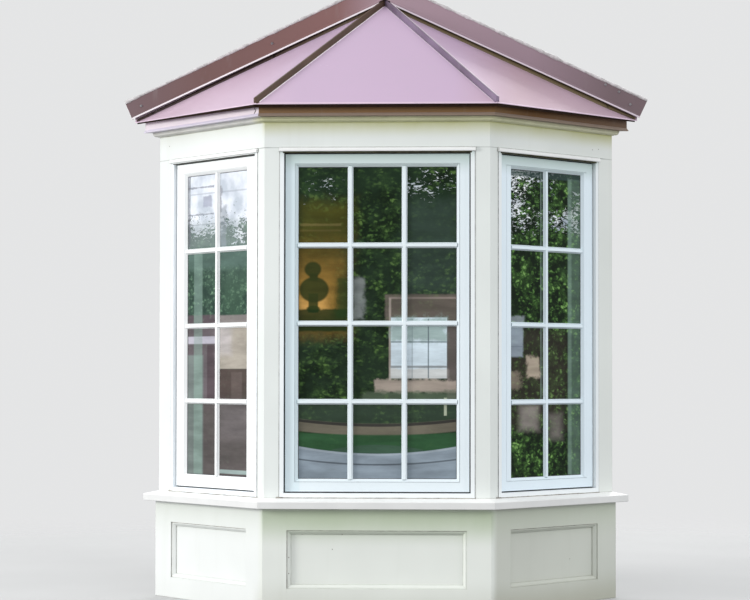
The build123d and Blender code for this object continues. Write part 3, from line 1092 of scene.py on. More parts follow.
def add_run(bm: bmesh.types.BMesh, start: Vector, end: Vector, across: Vector, out: Vector,
            section: list[Pair], steps: int = 1, wobble: float = 0.0) -> None:
    """Add a straight run of a closed section.

    Args:
        bm: Mesh that gets the run.
        start: Middle of the section at one end.
        end: Middle of the section at the other end.
        across: Unit direction of the section's first coordinate.
        out: Unit direction of the section's second coordinate.
        section: Corners of the section.
        steps: Number of lengths along the run.
        wobble: How far the section swells and shrinks, as a share.
    """
    rings = []
    for k in range(steps + 1):
        centre = start.lerp(end, k / steps)
        swell = 1.0 + wobble * noise.noise(centre * 22.0) + 0.5 * wobble * noise.noise(centre * 75.0)
        rings.append([centre + across * a * swell + out * b * swell for a, b in section])
    add_loft(bm, rings)


def add_ring(bm: bmesh.types.BMesh, side: Side, block: Block, section: list[Pair]) -> None:
    """Add a mitred rectangular ring.

    Args:
        bm: Mesh that gets the ring.
        side: Side of the bay it lies on.
        block: Outline that the ring follows.
        section: Closed section as pairs of inset from the outline and place out of the side.
    """
    loops = []
    for inset, d in section:
        edge = block.inset(inset)
        corners = ((edge.u0, edge.z0), (edge.u1, edge.z0), (edge.u1, edge.z1), (edge.u0, edge.z1))
        loops.append([bm.verts.new(side.point(u, d, z)) for u, z in corners])
    for here, there in zip(loops, loops[1:] + loops[:1]):
        for k in range(4):
            n = (k + 1) % 4
            bm.faces.new((here[k], here[n], there[n], there[k]))


def flat_bar(half: float, back: float, front: float, tip: float | None = None) -> list[Pair]:
    """Section of a thin bar on a face.

    Args:
        half: Half of its width at the back.
        back: How far it lies under the face.
        front: How far it stands off the face.
        tip: Half of its width at the front, or None for the same.

    Returns:
        The section's corners.
    """
    tip = half if tip is None else tip
    return [(-half, -back), (half, -back), (tip, front), (-tip, front)]


# Rusty nails on each side: along, height, and place out of the frieze's face.
NAILS: dict[Side, tuple[Triple, ...]] = {
    Side.FRONT: ((-0.3451, 0.2046, 0.0035), (-0.3449, 0.1421, 0.0035), (-0.175, 0.2365, -0.009),
                 (-0.293, 0.2967, -0.008), (-0.136, 0.2953, -0.008)),
    Side.LEFT: ((-0.8028, 1.8709, 0.0), (-0.7721, 1.7251, 0.0)),
    Side.RIGHT: ((0.7883, 1.8504, 0.0), (0.7525, 1.846, 0.0), (0.6241, 0.1741, -0.009)),
}

# Painted reflections and painted view of the lit room in each pane, laid from the back to the front.
FRONT_PAINTED_LIGHT: tuple[Patch, ...] = (
    Patch(0.108, 0.32, 1.234, 1.607, (0.05, 0.08, 0.065), 0.6, 0.03, 0.04),
    Patch(-0.32, -0.1, 1.43, 1.6, (0.09, 0.085, 0.012), 0.75, 0.02, 0.05),
    Patch(-0.306, -0.144, 1.506, 1.516, (0.24, 0.19, 0.07), 0.5, 0.002, 0.003),
    Patch(-0.306, -0.144, 1.485, 1.491, (0.18, 0.14, 0.05), 0.4, 0.002, 0.003),
    Patch(-0.34, -0.12, 1.09, 1.46, (0.12, 0.085, 0.016), 0.85, 0.02, 0.06),
    Patch(-0.34, -0.17, 1.12, 1.33, (0.38, 0.21, 0.045), 0.85, 0.02, 0.09),
    Patch(-0.32, -0.2, 1.15, 1.22, (0.75, 0.42, 0.12), 0.8, 0.012, 0.035),
    Patch(-0.272, -0.234, 1.165, 1.24, (0.035, 0.05, 0.01), 0.95, 0.0, 0.004),
    Patch(-0.28, -0.226, 1.165, 1.192, (0.035, 0.05, 0.01), 0.95, 0.0, 0.003, oval=True),
    Patch(-0.308, -0.192, 1.205, 1.305, (0.035, 0.045, 0.01), 0.95, 0.0, 0.005, oval=True),
    Patch(-0.268, -0.235, 1.29, 1.32, (0.035, 0.045, 0.01), 0.95, 0.0, 0.004),
    Patch(-0.288, -0.222, 1.305, 1.365, (0.035, 0.045, 0.01), 0.95, 0.0, 0.005, oval=True),
    Patch(-0.34, -0.12, 1.09, 1.178, (0.014, 0.035, 0.008), 0.92, 0.004, 0.006),
    Patch(-0.16, -0.11, 1.14, 1.3, (0.02, 0.05, 0.012), 0.75, 0.016, 0.012),
    Patch(-0.1, -0.053, 1.139, 1.301, (0.33, 0.36, 0.36), 0.6, 0.016, 0.014),
    Patch(0.03, 0.32, 1.131, 1.236, (0.17, 0.14, 0.12), 0.75, 0.003, 0.005),
    Patch(0.045, 0.32, 1.218, 1.226, (0.3, 0.25, 0.22), 0.7, 0.001),
    Patch(0.045, 0.054, 0.9, 1.22, (0.42, 0.36, 0.32), 0.8, 0.001),
    Patch(0.053, 0.274, 0.907, 1.145, (0.72, 0.84, 0.92), 0.95),
    Patch(0.053, 0.274, 1.05, 1.145, (0.3, 0.42, 0.38), 0.75, 0.02, 0.014),
    Patch(0.05, 0.28, 0.905, 0.945, (0.62, 0.6, 0.56), 0.7, 0.006, 0.006),
    Patch(0.135, 0.1385, 0.907, 1.14, (0.2, 0.25, 0.27), 0.6, 0.0, 0.001),
    Patch(0.198, 0.203, 0.907, 1.14, (0.12, 0.16, 0.18), 0.8, 0.0, 0.001),
    Patch(0.053, 0.274, 1.046, 1.052, (0.14, 0.18, 0.2), 0.7, 0.0, 0.001),
    Patch(0.053, 0.274, 0.947, 0.956, (0.2, 0.21, 0.21), 0.75, 0.001, 0.002),
    Patch(0.274, 0.32, 0.825, 1.12, (0.15, 0.125, 0.12), 0.8, 0.001, 0.004),
    Patch(-0.01, 0.32, 0.85, 0.9, (0.5, 0.42, 0.36), 0.75, 0.01, 0.006),
    Patch(-0.06, 0.32, 0.81, 0.855, (0.1, 0.14, 0.09), 0.7, 0.012, 0.008),
    Patch(-0.32, 0.32, 0.72, 0.815, (0.05, 0.08, 0.055), 0.6, 0.0, 0.004),
    Patch(-0.32, 0.32, 0.68, 0.727, (0.19, 0.17, 0.13), 0.9, 0.0, 0.004, 0.2),
    Patch(-0.32, 0.32, 0.716, 0.727, (0.03, 0.03, 0.03), 0.85, 0.0, 0.0015, 0.2),
    Patch(-0.32, 0.32, 0.61, 0.684, (0.035, 0.105, 0.045), 0.9, 0.0, 0.004, 0.1),
    Patch(-0.18, 0.18, 0.6, 0.645, (0.06, 0.11, 0.08), 0.7, 0.0, 0.003, -0.6),
    Patch(-0.32, 0.32, 0.48, 0.61, (0.29, 0.35, 0.41), 0.95, 0.0, 0.002, 0.3),
    Patch(-0.32, 0.32, 0.602, 0.61, (0.4, 0.46, 0.52), 0.6, 0.0, 0.002, 0.3),
    Patch(-0.32, 0.32, 0.564, 0.57, (0.07, 0.085, 0.1), 0.75, 0.0, 0.0015, 0.22),
    Patch(0.262, 0.273, 0.76, 0.83, (0.55, 0.6, 0.45), 0.7, 0.0, 0.002),
)

LEFT_PAINTED_LIGHT: tuple[Patch, ...] = (
    Patch(-0.82, -0.49, 1.435, 1.545, (0.34, 0.41, 0.4), 0.4, 0.02, 0.02),
    Patch(-0.805, -0.798, 1.447, 1.76, (0.16, 0.17, 0.2), 0.8, 0.002, 0.001),
    Patch(-0.66, -0.645, 1.58, 1.69, (0.3, 0.3, 0.34), 0.7, 0.008, 0.003),
    Patch(-0.737, -0.694, 1.606, 1.65, (0.36, 0.38, 0.48), 0.75, 0.006, 0.004),
    Patch(-0.66, -0.625, 1.44, 1.6, (0.3, 0.34, 0.38), 0.6, 0.014, 0.006),
    Patch(-0.82, -0.684, 1.684, 1.692, (0.22, 0.23, 0.28), 0.65, 0.004, 0.001),
    Patch(-0.801, -0.529, 1.658, 1.664, (0.4, 0.43, 0.5), 0.45, 0.002, 0.001),
    Patch(-0.82, -0.684, 1.573, 1.58, (0.22, 0.24, 0.28), 0.6, 0.004, 0.001),
    Patch(-0.82, -0.6, 1.532, 1.537, (0.3, 0.34, 0.38), 0.5, 0.003, 0.001),
    Patch(-0.82, -0.49, 1.353, 1.432, (0.11, 0.18, 0.155), 0.8, 0.01, 0.02),
    Patch(-0.67, -0.49, 1.12, 1.16, (0.34, 0.29, 0.29), 0.75, 0.0, 0.004),
    Patch(-0.83, -0.67, 1.12, 1.164, (0.13, 0.09, 0.11), 0.75, 0.0, 0.004),
    Patch(-0.83, -0.67, 0.81, 1.12, (0.16, 0.13, 0.145), 0.9, 0.0, 0.003),
    Patch(-0.715, -0.67, 0.81, 1.04, (0.09, 0.065, 0.075), 0.8, 0.0, 0.003),
    Patch(-0.808, -0.6, 1.046, 1.076, (0.66, 0.64, 0.74), 0.8, 0.0, 0.003),
    Patch(-0.67, -0.49, 0.943, 1.12, (0.5, 0.445, 0.385), 0.85, 0.0, 0.003),
    Patch(-0.67, -0.6, 1.0, 1.12, (0.56, 0.53, 0.56), 0.5, 0.006, 0.02),
    Patch(-0.67, -0.49, 0.81, 0.943, (0.1, 0.07, 0.064), 0.9, 0.0, 0.003),
    Patch(-0.6, -0.55, 0.81, 0.93, (0.16, 0.125, 0.115), 0.6, 0.0, 0.004),
    Patch(-0.83, -0.49, 0.48, 0.81, (0.12, 0.1, 0.1), 0.9, 0.0, 0.003),
    Patch(-0.66, -0.49, 0.66, 0.81, (0.19, 0.17, 0.175), 0.6, 0.0, 0.04),
    Patch(-0.83, -0.733, 0.48, 1.0, (0.2, 0.25, 0.235), 0.75, 0.0, 0.004),
    Patch(-0.779, -0.738, 0.48, 1.43, (0.3, 0.44, 0.38), 0.45, 0.0, 0.003),
    Patch(-0.656, -0.49, 0.521, 0.537, (0.42, 0.54, 0.52), 0.7),
)

RIGHT_PAINTED_LIGHT: tuple[Patch, ...] = (
    Patch(0.49, 0.83, 1.712, 1.76, (0.05, 0.085, 0.08), 0.8, 0.0, 0.004),
    Patch(0.49, 0.577, 1.12, 1.154, (0.34, 0.38, 0.42), 0.7, 0.006, 0.006),
    Patch(0.49, 0.757, 0.7, 1.108, (0.06, 0.045, 0.038), 0.5, 0.03, 0.03),
    Patch(0.49, 0.573, 0.991, 1.12, (0.38, 0.45, 0.53), 0.8, 0.004, 0.005),
    Patch(0.49, 0.573, 1.03, 1.035, (0.2, 0.24, 0.3), 0.6, 0.0, 0.0015),
    Patch(0.589, 0.64, 0.911, 0.992, (0.7, 0.58, 0.46), 0.7, 0.012, 0.008),
    Patch(0.5, 0.56, 0.86, 0.93, (0.4, 0.33, 0.26), 0.5, 0.02, 0.012),
    Patch(0.56, 0.635, 0.7, 0.8, (0.46, 0.41, 0.38), 0.6, 0.004, 0.02),
    Patch(0.68, 0.73, 0.66, 0.76, (0.36, 0.32, 0.3), 0.5, 0.004, 0.02),
    Patch(0.757, 0.822, 0.507, 1.718, (0.17, 0.27, 0.215), 0.5, 0.0, 0.004),
    Patch(0.757, 0.772, 0.507, 1.718, (0.28, 0.42, 0.34), 0.45, 0.0, 0.004),
    Patch(0.643, 0.648, 0.823, 1.76, (0.36, 0.46, 0.43), 0.4, 0.0, 0.001),
)


@dataclass(frozen=True)
class Palette:
    """Every finish of the bay window.

    Attributes:
        frieze_top: Height of the frieze's top.
        sill_foot: Height of the sill's underside.
        head: Height of the joint between the posts and the frieze.
        fascia_hem: Height of the top of the fascia's hem.
    """

    frieze_top: float
    sill_foot: float
    head: float
    fascia_hem: float

    @property
    def trim_paint(self) -> Paint:
        """Paint of the frieze and the posts, stained under the cornice.

        Returns:
            The paint.
        """
        # Painted light and shade across the bay: white on the lit left, a little darker to the right.
        tones = ((-0.5, WHITE), (-0.44, (0.97, 0.975, 0.97)), (0.44, (0.96, 0.965, 0.955)),
                 (0.95, (0.94, 0.94, 0.92)))
        stains = (Stain(self.frieze_top - 0.006, 0.085, 0.66), Stain(self.frieze_top, 0.03, 0.55))
        return Paint("trim_paint", "painted_timber", tones=tones, joints=(self.head,),
                     grime=(0.43, 0.425, 0.06), stains=stains)

    @property
    def base_paint(self) -> Paint:
        """Paint of the panelled base, stained under the sill and darker on the right as painted shade.

        Returns:
            The paint.
        """
        # Painted light and shade across the bay: lightest on the left, much darker on the right.
        tones = ((-0.47, (0.94, 0.945, 0.95)), (-0.455, (0.9, 0.91, 0.88)), (0.455, (0.88, 0.89, 0.86)),
                 (0.47, (0.65, 0.655, 0.605)), (0.92, (0.69, 0.7, 0.65)))
        stains = (Stain(self.sill_foot + 0.05, 0.21, 0.9), Stain(self.sill_foot - 0.012, 0.15, 0.8))
        return Paint("base_paint", "painted_timber", colour=(0.82, 0.84, 0.82), grime=(0.445, 0.52, 0.375),
                     splash=0.14, right_share=0.3, dirt_and_shade=0.5, tones=tones, stains=stains)

    @property
    def cornice_paint(self) -> Paint:
        """Weathered paint of the cornice moulding, with painted shade on its listel and its foot.

        Returns:
            The paint.
        """
        top = self.frieze_top
        # Painted shade by height over the frieze: dark on the listel under the fascia and at the round's
        # foot.
        front = ((0.0, 0.3), (0.0008, 0.75), (0.002, 0.6), (0.0035, 0.0), (0.011, 0.0), (0.0125, 0.25),
                 (0.019, 0.45))
        left = ((0.0, 0.5), (0.001, 0.75), (0.0035, 0.6), (0.005, 0.0), (0.0145, 0.0), (0.016, 0.85),
                (0.019, 0.97))
        # White on the lit left as painted light; yellowed on the front and right as grime.
        tones = ((-0.5, WHITE), (-0.46, (0.97, 0.98, 0.64)), (0.46, (1.0, 1.0, 0.68)),
                 (0.95, (1.0, 0.98, 0.75)))
        return Paint("cornice_paint", "painted_timber", colour=(0.99, 0.99, 0.94), grain=(0.8, 0.8, 9.0),
                     left_share=0.0, dirt_and_shade=0.0, shade_rung_right=1.3, tones=tones,
                     stains=(Stain(top + 0.03, 0.12, 0.12),),
                     shade_rungs=tuple((top + z, share) for z, share in front),
                     shade_rungs_left=tuple((top + z, share) for z, share in left))

    @property
    def fascia(self) -> Sheet:
        """Coated metal of the front and right fascia, dark as painted shade, with a painted highlight on its
        hem.

        Returns:
            The metal.
        """
        # Painted shade and reflection across the fascia, darkest on the right.
        spread = ((-0.5, (0.24, 0.14, 0.07)), (0.44, (0.21, 0.115, 0.046)), (0.6, (0.11, 0.048, 0.01)),
                  (1.0, (0.13, 0.085, 0.06)))
        return Sheet("fascia_sheet", "trim_metal", colour=(0.2, 0.1, 0.038), shade=(0.15, 0.078, 0.028),
                     metallic=0.0, roughness=0.5, wave=0.0006, gloss=0.2, spread=spread,
                     hem=(0.25, 0.19, 0.15), hem_highlight_top=self.fascia_hem)

    @property
    def fascia_left(self) -> Sheet:
        """The same metal, lighter as painted light where it faces the light."""
        return Sheet("fascia_sheet_left", "trim_metal", colour=(0.79, 0.7, 0.745), shade=(0.74, 0.655, 0.72),
                     metallic=0.0, wave=0.0006, hem=(0.62, 0.58, 0.68), hem_highlight_top=self.fascia_hem, dirt_and_shade=0.0)

    @property
    def sill_paint(self) -> Paint:
        """Paint of the sill, with painted shade on its edge and lighter on the left as painted light.

        Returns:
            The paint.
        """
        # Painted shade on the sill's front edge, none on its top.
        heights = ((0.0, 0.72), (0.024, 0.72), (0.03, 0.0), (0.042, 0.0))
        # Lighter on the left as painted light.
        tones = ((-0.48, WHITE), (-0.46, (0.92, 0.92, 0.91)), (0.95, (0.91, 0.91, 0.9)))
        return Paint("sill_paint", "painted_timber", colour=(0.93, 0.935, 0.93), grain=(0.8, 0.8, 9.0),
                     tones=tones, shade_rungs=tuple((self.sill_foot + z, share) for z, share in heights),
                     shade_rung_colour=(0.62, 0.625, 0.62))

    cap_paint: Paint = Paint("cap_paint", "painted_timber", colour=(0.86, 0.87, 0.86), grain=(0.8, 0.8, 9.0))
    inner_paint: Paint = Paint("inner_paint", "inner_board", colour=(0.72, 0.7, 0.65), grain=(0.9, 9.0, 9.0))
    # Window vinyl: the left copies are lighter as painted light with less painted shade; the right sash is
    # lighter and bluer as painted light.
    frame_vinyl: Vinyl = Vinyl("frame_vinyl_white", "frame_vinyl", colour=(0.83, 0.87, 0.885), head=1.83)
    frame_vinyl_left: Vinyl = Vinyl(
        "frame_vinyl_lit", "frame_vinyl", colour=(0.87, 0.925, 0.97), head=1.83,
        head_shade_colour=(0.84, 0.88, 0.87), dirt_and_shade=0.35)
    # Darker left of X -0.31, on the front sash's left stile, as painted shade.
    sash_vinyl: Vinyl = Vinyl(
        "sash_vinyl_white", "sash_vinyl", tones=((-0.31, (0.9, 0.955, 0.965)), (-0.3, WHITE)))
    sash_vinyl_right: Vinyl = Vinyl("sash_vinyl_painted_light", "sash_vinyl", colour=(0.77, 0.875, 0.945))
    sash_vinyl_left: Vinyl = Vinyl(
        "sash_vinyl_lit", "sash_vinyl", colour=(0.94, 0.955, 0.96), head_shade_colour=(0.9, 0.93, 0.92),
        dirt_and_shade=0.35)
    # Painted light across the pans: lighter on the left, which faces the light, darker to the right.
    roof: Sheet = Sheet(
        "roof_sheet", "roof_metal", colour=(0.58, 0.44, 0.6), shade=(0.52, 0.4, 0.54), metallic=0.35,
        hem=(0.74, 0.58, 0.7), hem_highlight_top=1.9815, dirt_and_shade=0.0, specks=0.9, spread=((-0.9, (0.77, 0.58, 0.685)),
        (-0.5, (0.69, 0.51, 0.645)), (-0.3, (0.6, 0.45, 0.6)), (0.3, (0.575, 0.42, 0.575)),
        (0.55, (0.52, 0.355, 0.4)), (0.95, (0.56, 0.4, 0.465))))
    # Lit and shaded copies of one metal: the left rib dark as painted shade, the right lighter as painted
    # reflection.
    rib_left: Sheet = Sheet(
        "rib_sheet_left", "trim_metal", colour=(0.1, 0.058, 0.032), shade=(0.06, 0.032, 0.02),
        metallic=0.1, wave=0.0006)
    rib_right: Sheet = Sheet(
        "rib_sheet_right", "trim_metal", colour=(0.27, 0.2, 0.3), shade=(0.16, 0.115, 0.17), metallic=0.4,
        wave=0.0006)
    # Painted light across the flashings: darker on the left, lighter on the right as painted reflection.
    flashing: Sheet = Sheet(
        "flashing_sheet", "flashing_metal", colour=(0.165, 0.105, 0.105), shade=(0.14, 0.085, 0.085),
        metallic=0.15, wave=0.001, gloss=0.3, spread=((-1.05, (0.165, 0.108, 0.118)),
        (-0.75, (0.155, 0.081, 0.075)), (-0.2, (0.225, 0.11, 0.103)), (0.0, (0.4, 0.28, 0.33)),
        (0.6, (0.345, 0.245, 0.295)), (0.95, (0.175, 0.125, 0.14))))
    # Pale painted highlight on the flashing hems and the hip ribs.
    flashing_highlight: Sheet = Sheet(
        "flashing_highlight_sheet", "flashing_metal", colour=(0.84, 0.75, 0.8), shade=(0.7, 0.61, 0.66),
        metallic=0.2, wave=0.0002, spread=((-1.0, (0.95, 0.9, 0.93)), (-0.1, (0.9, 0.84, 0.87)),
        (0.1, (0.76, 0.66, 0.73)), (1.0, (0.7, 0.6, 0.68))))
    # Dark painted shade on the pans' upstands under the flashing hems, olive on the right.
    bronze: Sheet = Sheet(
        "upstand_shade_sheet", "trim_metal", colour=(0.075, 0.045, 0.035), shade=(0.05, 0.03, 0.025),
        metallic=0.2, roughness=0.5, wave=0.0003, spread=((-0.5, (0.06, 0.035, 0.03)),
        (0.3, (0.17, 0.125, 0.06))))
    screw: Sheet = Sheet(
        "screw_metal", "trim_metal", colour=(0.4, 0.38, 0.4), shade=(0.2, 0.19, 0.2), metallic=0.9,
        roughness=0.3, wave=0.0001)
    # Each side's glass has its own painted reflections of sky and leaves.
    front_glass: Pane = Pane("front_glass", "window_glass", sky_reflection_share=0.2, patches=FRONT_PAINTED_LIGHT)
    left_glass: Pane = Pane(
        "left_glass", "window_glass", sky_reflection_share=1.05, sky_reflection_foot=1.43, sky_reflection_rise=0.2, sky_reflection_open=0.2,
        sky_reflection_tones=((0.5, 0.55, 0.62), (0.84, 0.87, 0.94)), light=(0.19, 0.31, 0.2),
        leaf_reflection=(0.075, 0.14, 0.095), shadow=(0.024, 0.048, 0.038), top_tone=(0.13, 0.175, 0.17),
        low_tone=(0.055, 0.11, 0.07), leaf_reflection_scale=48.0, calm=0.6, lit_from=0.4, patches=LEFT_PAINTED_LIGHT)
    right_glass: Pane = Pane(
        "right_glass", "window_glass", sky_reflection_share=0.48, sky_reflection_foot=1.28, sky_reflection_rise=0.3,
        sky_reflection_tones=((0.4, 0.46, 0.54), (0.95, 0.98, 1.0)), light=(0.23, 0.42, 0.12),
        leaf_reflection=(0.064, 0.15, 0.036), top_tone=(0.016, 0.036, 0.02), low_tone=(0.03, 0.058, 0.026),
        leaf_reflection_scale=50.0, calm=0.45, lit_from=0.32, patches=RIGHT_PAINTED_LIGHT)
    timber: Timber = Timber("bare_timber", "raw_timber")
    gasket: Rubber = Rubber(
        "gasket_rubber", "frame_vinyl", colour=(0.02, 0.023, 0.03), lighter=(0.035, 0.04, 0.05))
    # Near-black painted shade for the strips under the eaves, also used for the split in the left fascia.
    painted_shade: Rubber = Rubber(
        "painted_shade_strip", "trim_metal", colour=(0.012, 0.006, 0.004), lighter=(0.024, 0.012, 0.008),
        gloss=0.05)
    # Dark olive painted shade under the drip caps and under the sills.
    gap_shade: Rubber = Rubber(
        "gap_shade", "frame_vinyl", colour=(0.03, 0.028, 0.014), lighter=(0.07, 0.065, 0.035), gloss=0.1)
    nail: Rubber = Rubber("nail_rust", "painted_timber", colour=(0.1, 0.07, 0.05), lighter=(0.2, 0.17, 0.13))
    # Dark lines at open joints, also used for the painted shade lines at the panel mouldings.
    joint: Rubber = Rubber(
        "open_joint_and_shade", "painted_timber", colour=(0.12, 0.1, 0.085), lighter=(0.5, 0.48, 0.43), lumps=26.0)
    caulk: Rubber = Rubber(
        "caulk_line", "frame_vinyl", colour=(0.16, 0.16, 0.16), lighter=(0.42, 0.42, 0.41), lumps=35.0)
    sealant: Rubber = Rubber(
        "flashing_sealant", "frame_vinyl", colour=(0.38, 0.36, 0.36), lighter=(0.64, 0.61, 0.62),
        shine=Shine.WET, lumps=45.0)

    def glass(self, side: Side) -> Pane:
        """The glass of one side."""
        return {Side.LEFT: self.left_glass, Side.FRONT: self.front_glass, Side.RIGHT: self.right_glass}[side]

    def sash(self, side: Side) -> Vinyl:
        """The sash's finish on one side."""
        return {Side.LEFT: self.sash_vinyl_left, Side.FRONT: self.sash_vinyl,
                Side.RIGHT: self.sash_vinyl_right}[side]


@dataclass
class Carpentry:
    """Painted boards and posts of the bay, and the bare timber inside."""

    shop: Workshop
    palette: Palette
    bottom_rail: float = 0.083
    top_rail: float = 0.085
    moulding: float = 0.015
    moulding_back: float = 0.005
    panel_back: float = 0.019
    joint_width: float = 0.0022
    line_back: float = 0.0004
    line_proud: float = 0.0003
    nail_radius: float = 0.0022
    nail_height: float = 0.0012
    cornice_gap: float = 0.003
    round_section: tuple[Pair, ...] = ((0.008, 0.0025), (0.0165, 0.0035), (0.0206, 0.0065), (0.0206, 0.0128),
                                       (0.018, 0.0128))

    def build(self) -> None:
        """Dress every timber node and make the small pieces on them."""
        self.shop.dress_all({
            "base_": self.palette.base_paint,
            "sill_": self.palette.sill_paint,
            "corner_post": self.palette.trim_paint,
            "wall_post": self.palette.trim_paint,
            "frieze": self.palette.trim_paint,
            "cornice": self.palette.cornice_paint,
            "seat_board": self.palette.inner_paint,
            "head_board": self.palette.inner_paint,
            "bottom_board": self.palette.timber,
            "roof_deck": self.palette.timber,
            "roof_header": self.palette.timber,
        })
        LOG.info("carpentry dressed")
        for side in Side:
            self.panel_shade_lines(side)
            self.sill_joint_shade(side)
            self.cornice_face(side)
            self.nails(side)

    def _strip(self, bm: bmesh.types.BMesh, side: Side, first: Pair, last: Pair, face: float) -> None:
        """Add a thin dark line on a face.

        Args:
            bm: Mesh that gets the joint.
            side: Side of the bay.
            first: Its start, as along and height.
            last: Its end, as along and height.
            face: Place of the face out of the side.
        """
        start, end = side.point(first[0], face, first[1]), side.point(last[0], face, last[1])
        across = (end - start).normalized().cross(side.outward)
        section = flat_bar(self.joint_width / 2, self.line_back, self.line_proud)
        add_run(bm, start, end, across, side.outward, section, steps=40, wobble=0.6)

    def panel_shade_lines(self, side: Side) -> None:
        """Make the dark lines of painted shade at the head and the left of one panel's moulding.

        Args:
            side: Side of the bay.
        """
        rails = Block.of(side, f"base_rails_{side.label}")
        low, high = rails.z0 + self.bottom_rail, rails.z1 - self.top_rail
        # Inset of each painted shade line from the moulding's edges.
        crack = 0.0012
        bm = bmesh.new()
        for inset, depth in ((crack, self.moulding_back), (self.moulding - crack, self.panel_back)):
            face = rails.d1 - depth
            corner = (rails.u0 + inset, high - inset)
            self._strip(bm, side, corner, (rails.u1 - inset, high - inset), face)
            self._strip(bm, side, corner, (rails.u0 + inset, low + inset), face)
        self.shop.add(f"panel_shade_line_{side.label}", bm, self.palette.joint)

    def sill_joint_shade(self, side: Side) -> None:
        """Make the dark line between the sill and the base: an open joint, darkened as painted shade under
        the sill.

        Args:
            side: Side of the bay.
        """
        rails = Block.of(side, f"base_rails_{side.label}")
        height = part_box("sill_front")[0].z - self.joint_width / 2
        bm = bmesh.new()
        self._strip(bm, side, (rails.u0, height), (rails.u1, height), rails.d1)
        self.shop.add(f"sill_joint_shade_{side.label}", bm, self.palette.gap_shade)

    def cornice_face(self, side: Side) -> None:
        """Make the upright face of the cornice's round, mitred at the bends.

        Args:
            side: Side of the bay.
        """
        frieze = Block.of(side, f"frieze_{side.label}")
        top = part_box("cornice")[0].z
        pairs = []
        for reach, rise in self.round_section:
            d = frieze.d1 + reach
            ends = mitred_ends(side, frieze, d, self.cornice_gap)
            pairs.append([side.point(u, d, top + rise) for u in ends])
        bm = bmesh.new()
        add_loft(bm, [[pair[k] for pair in pairs] for k in (0, 1)])
        self.shop.add(f"cornice_face_{side.label}", bm, self.palette.cornice_paint)

    def nails(self, side: Side) -> None:
        """Make the small rusty nail heads.

        Args:
            side: Side of the bay.
        """
        bm = bmesh.new()
        face = Block.of(side, f"frieze_{side.label}").d1
        turn = side.outward.to_track_quat("Z", "Y").to_matrix().to_4x4()
        for u, z, d in NAILS[side]:
            spot = Matrix.Translation(side.point(u, face + d, z)) @ turn
            bmesh.ops.create_cone(bm, cap_ends=True, segments=10, radius1=self.nail_radius,
                                  radius2=self.nail_radius * 0.7, depth=self.nail_height, matrix=spot)
        self.shop.add(f"nail_heads_{side.label}", bm, self.palette.nail)


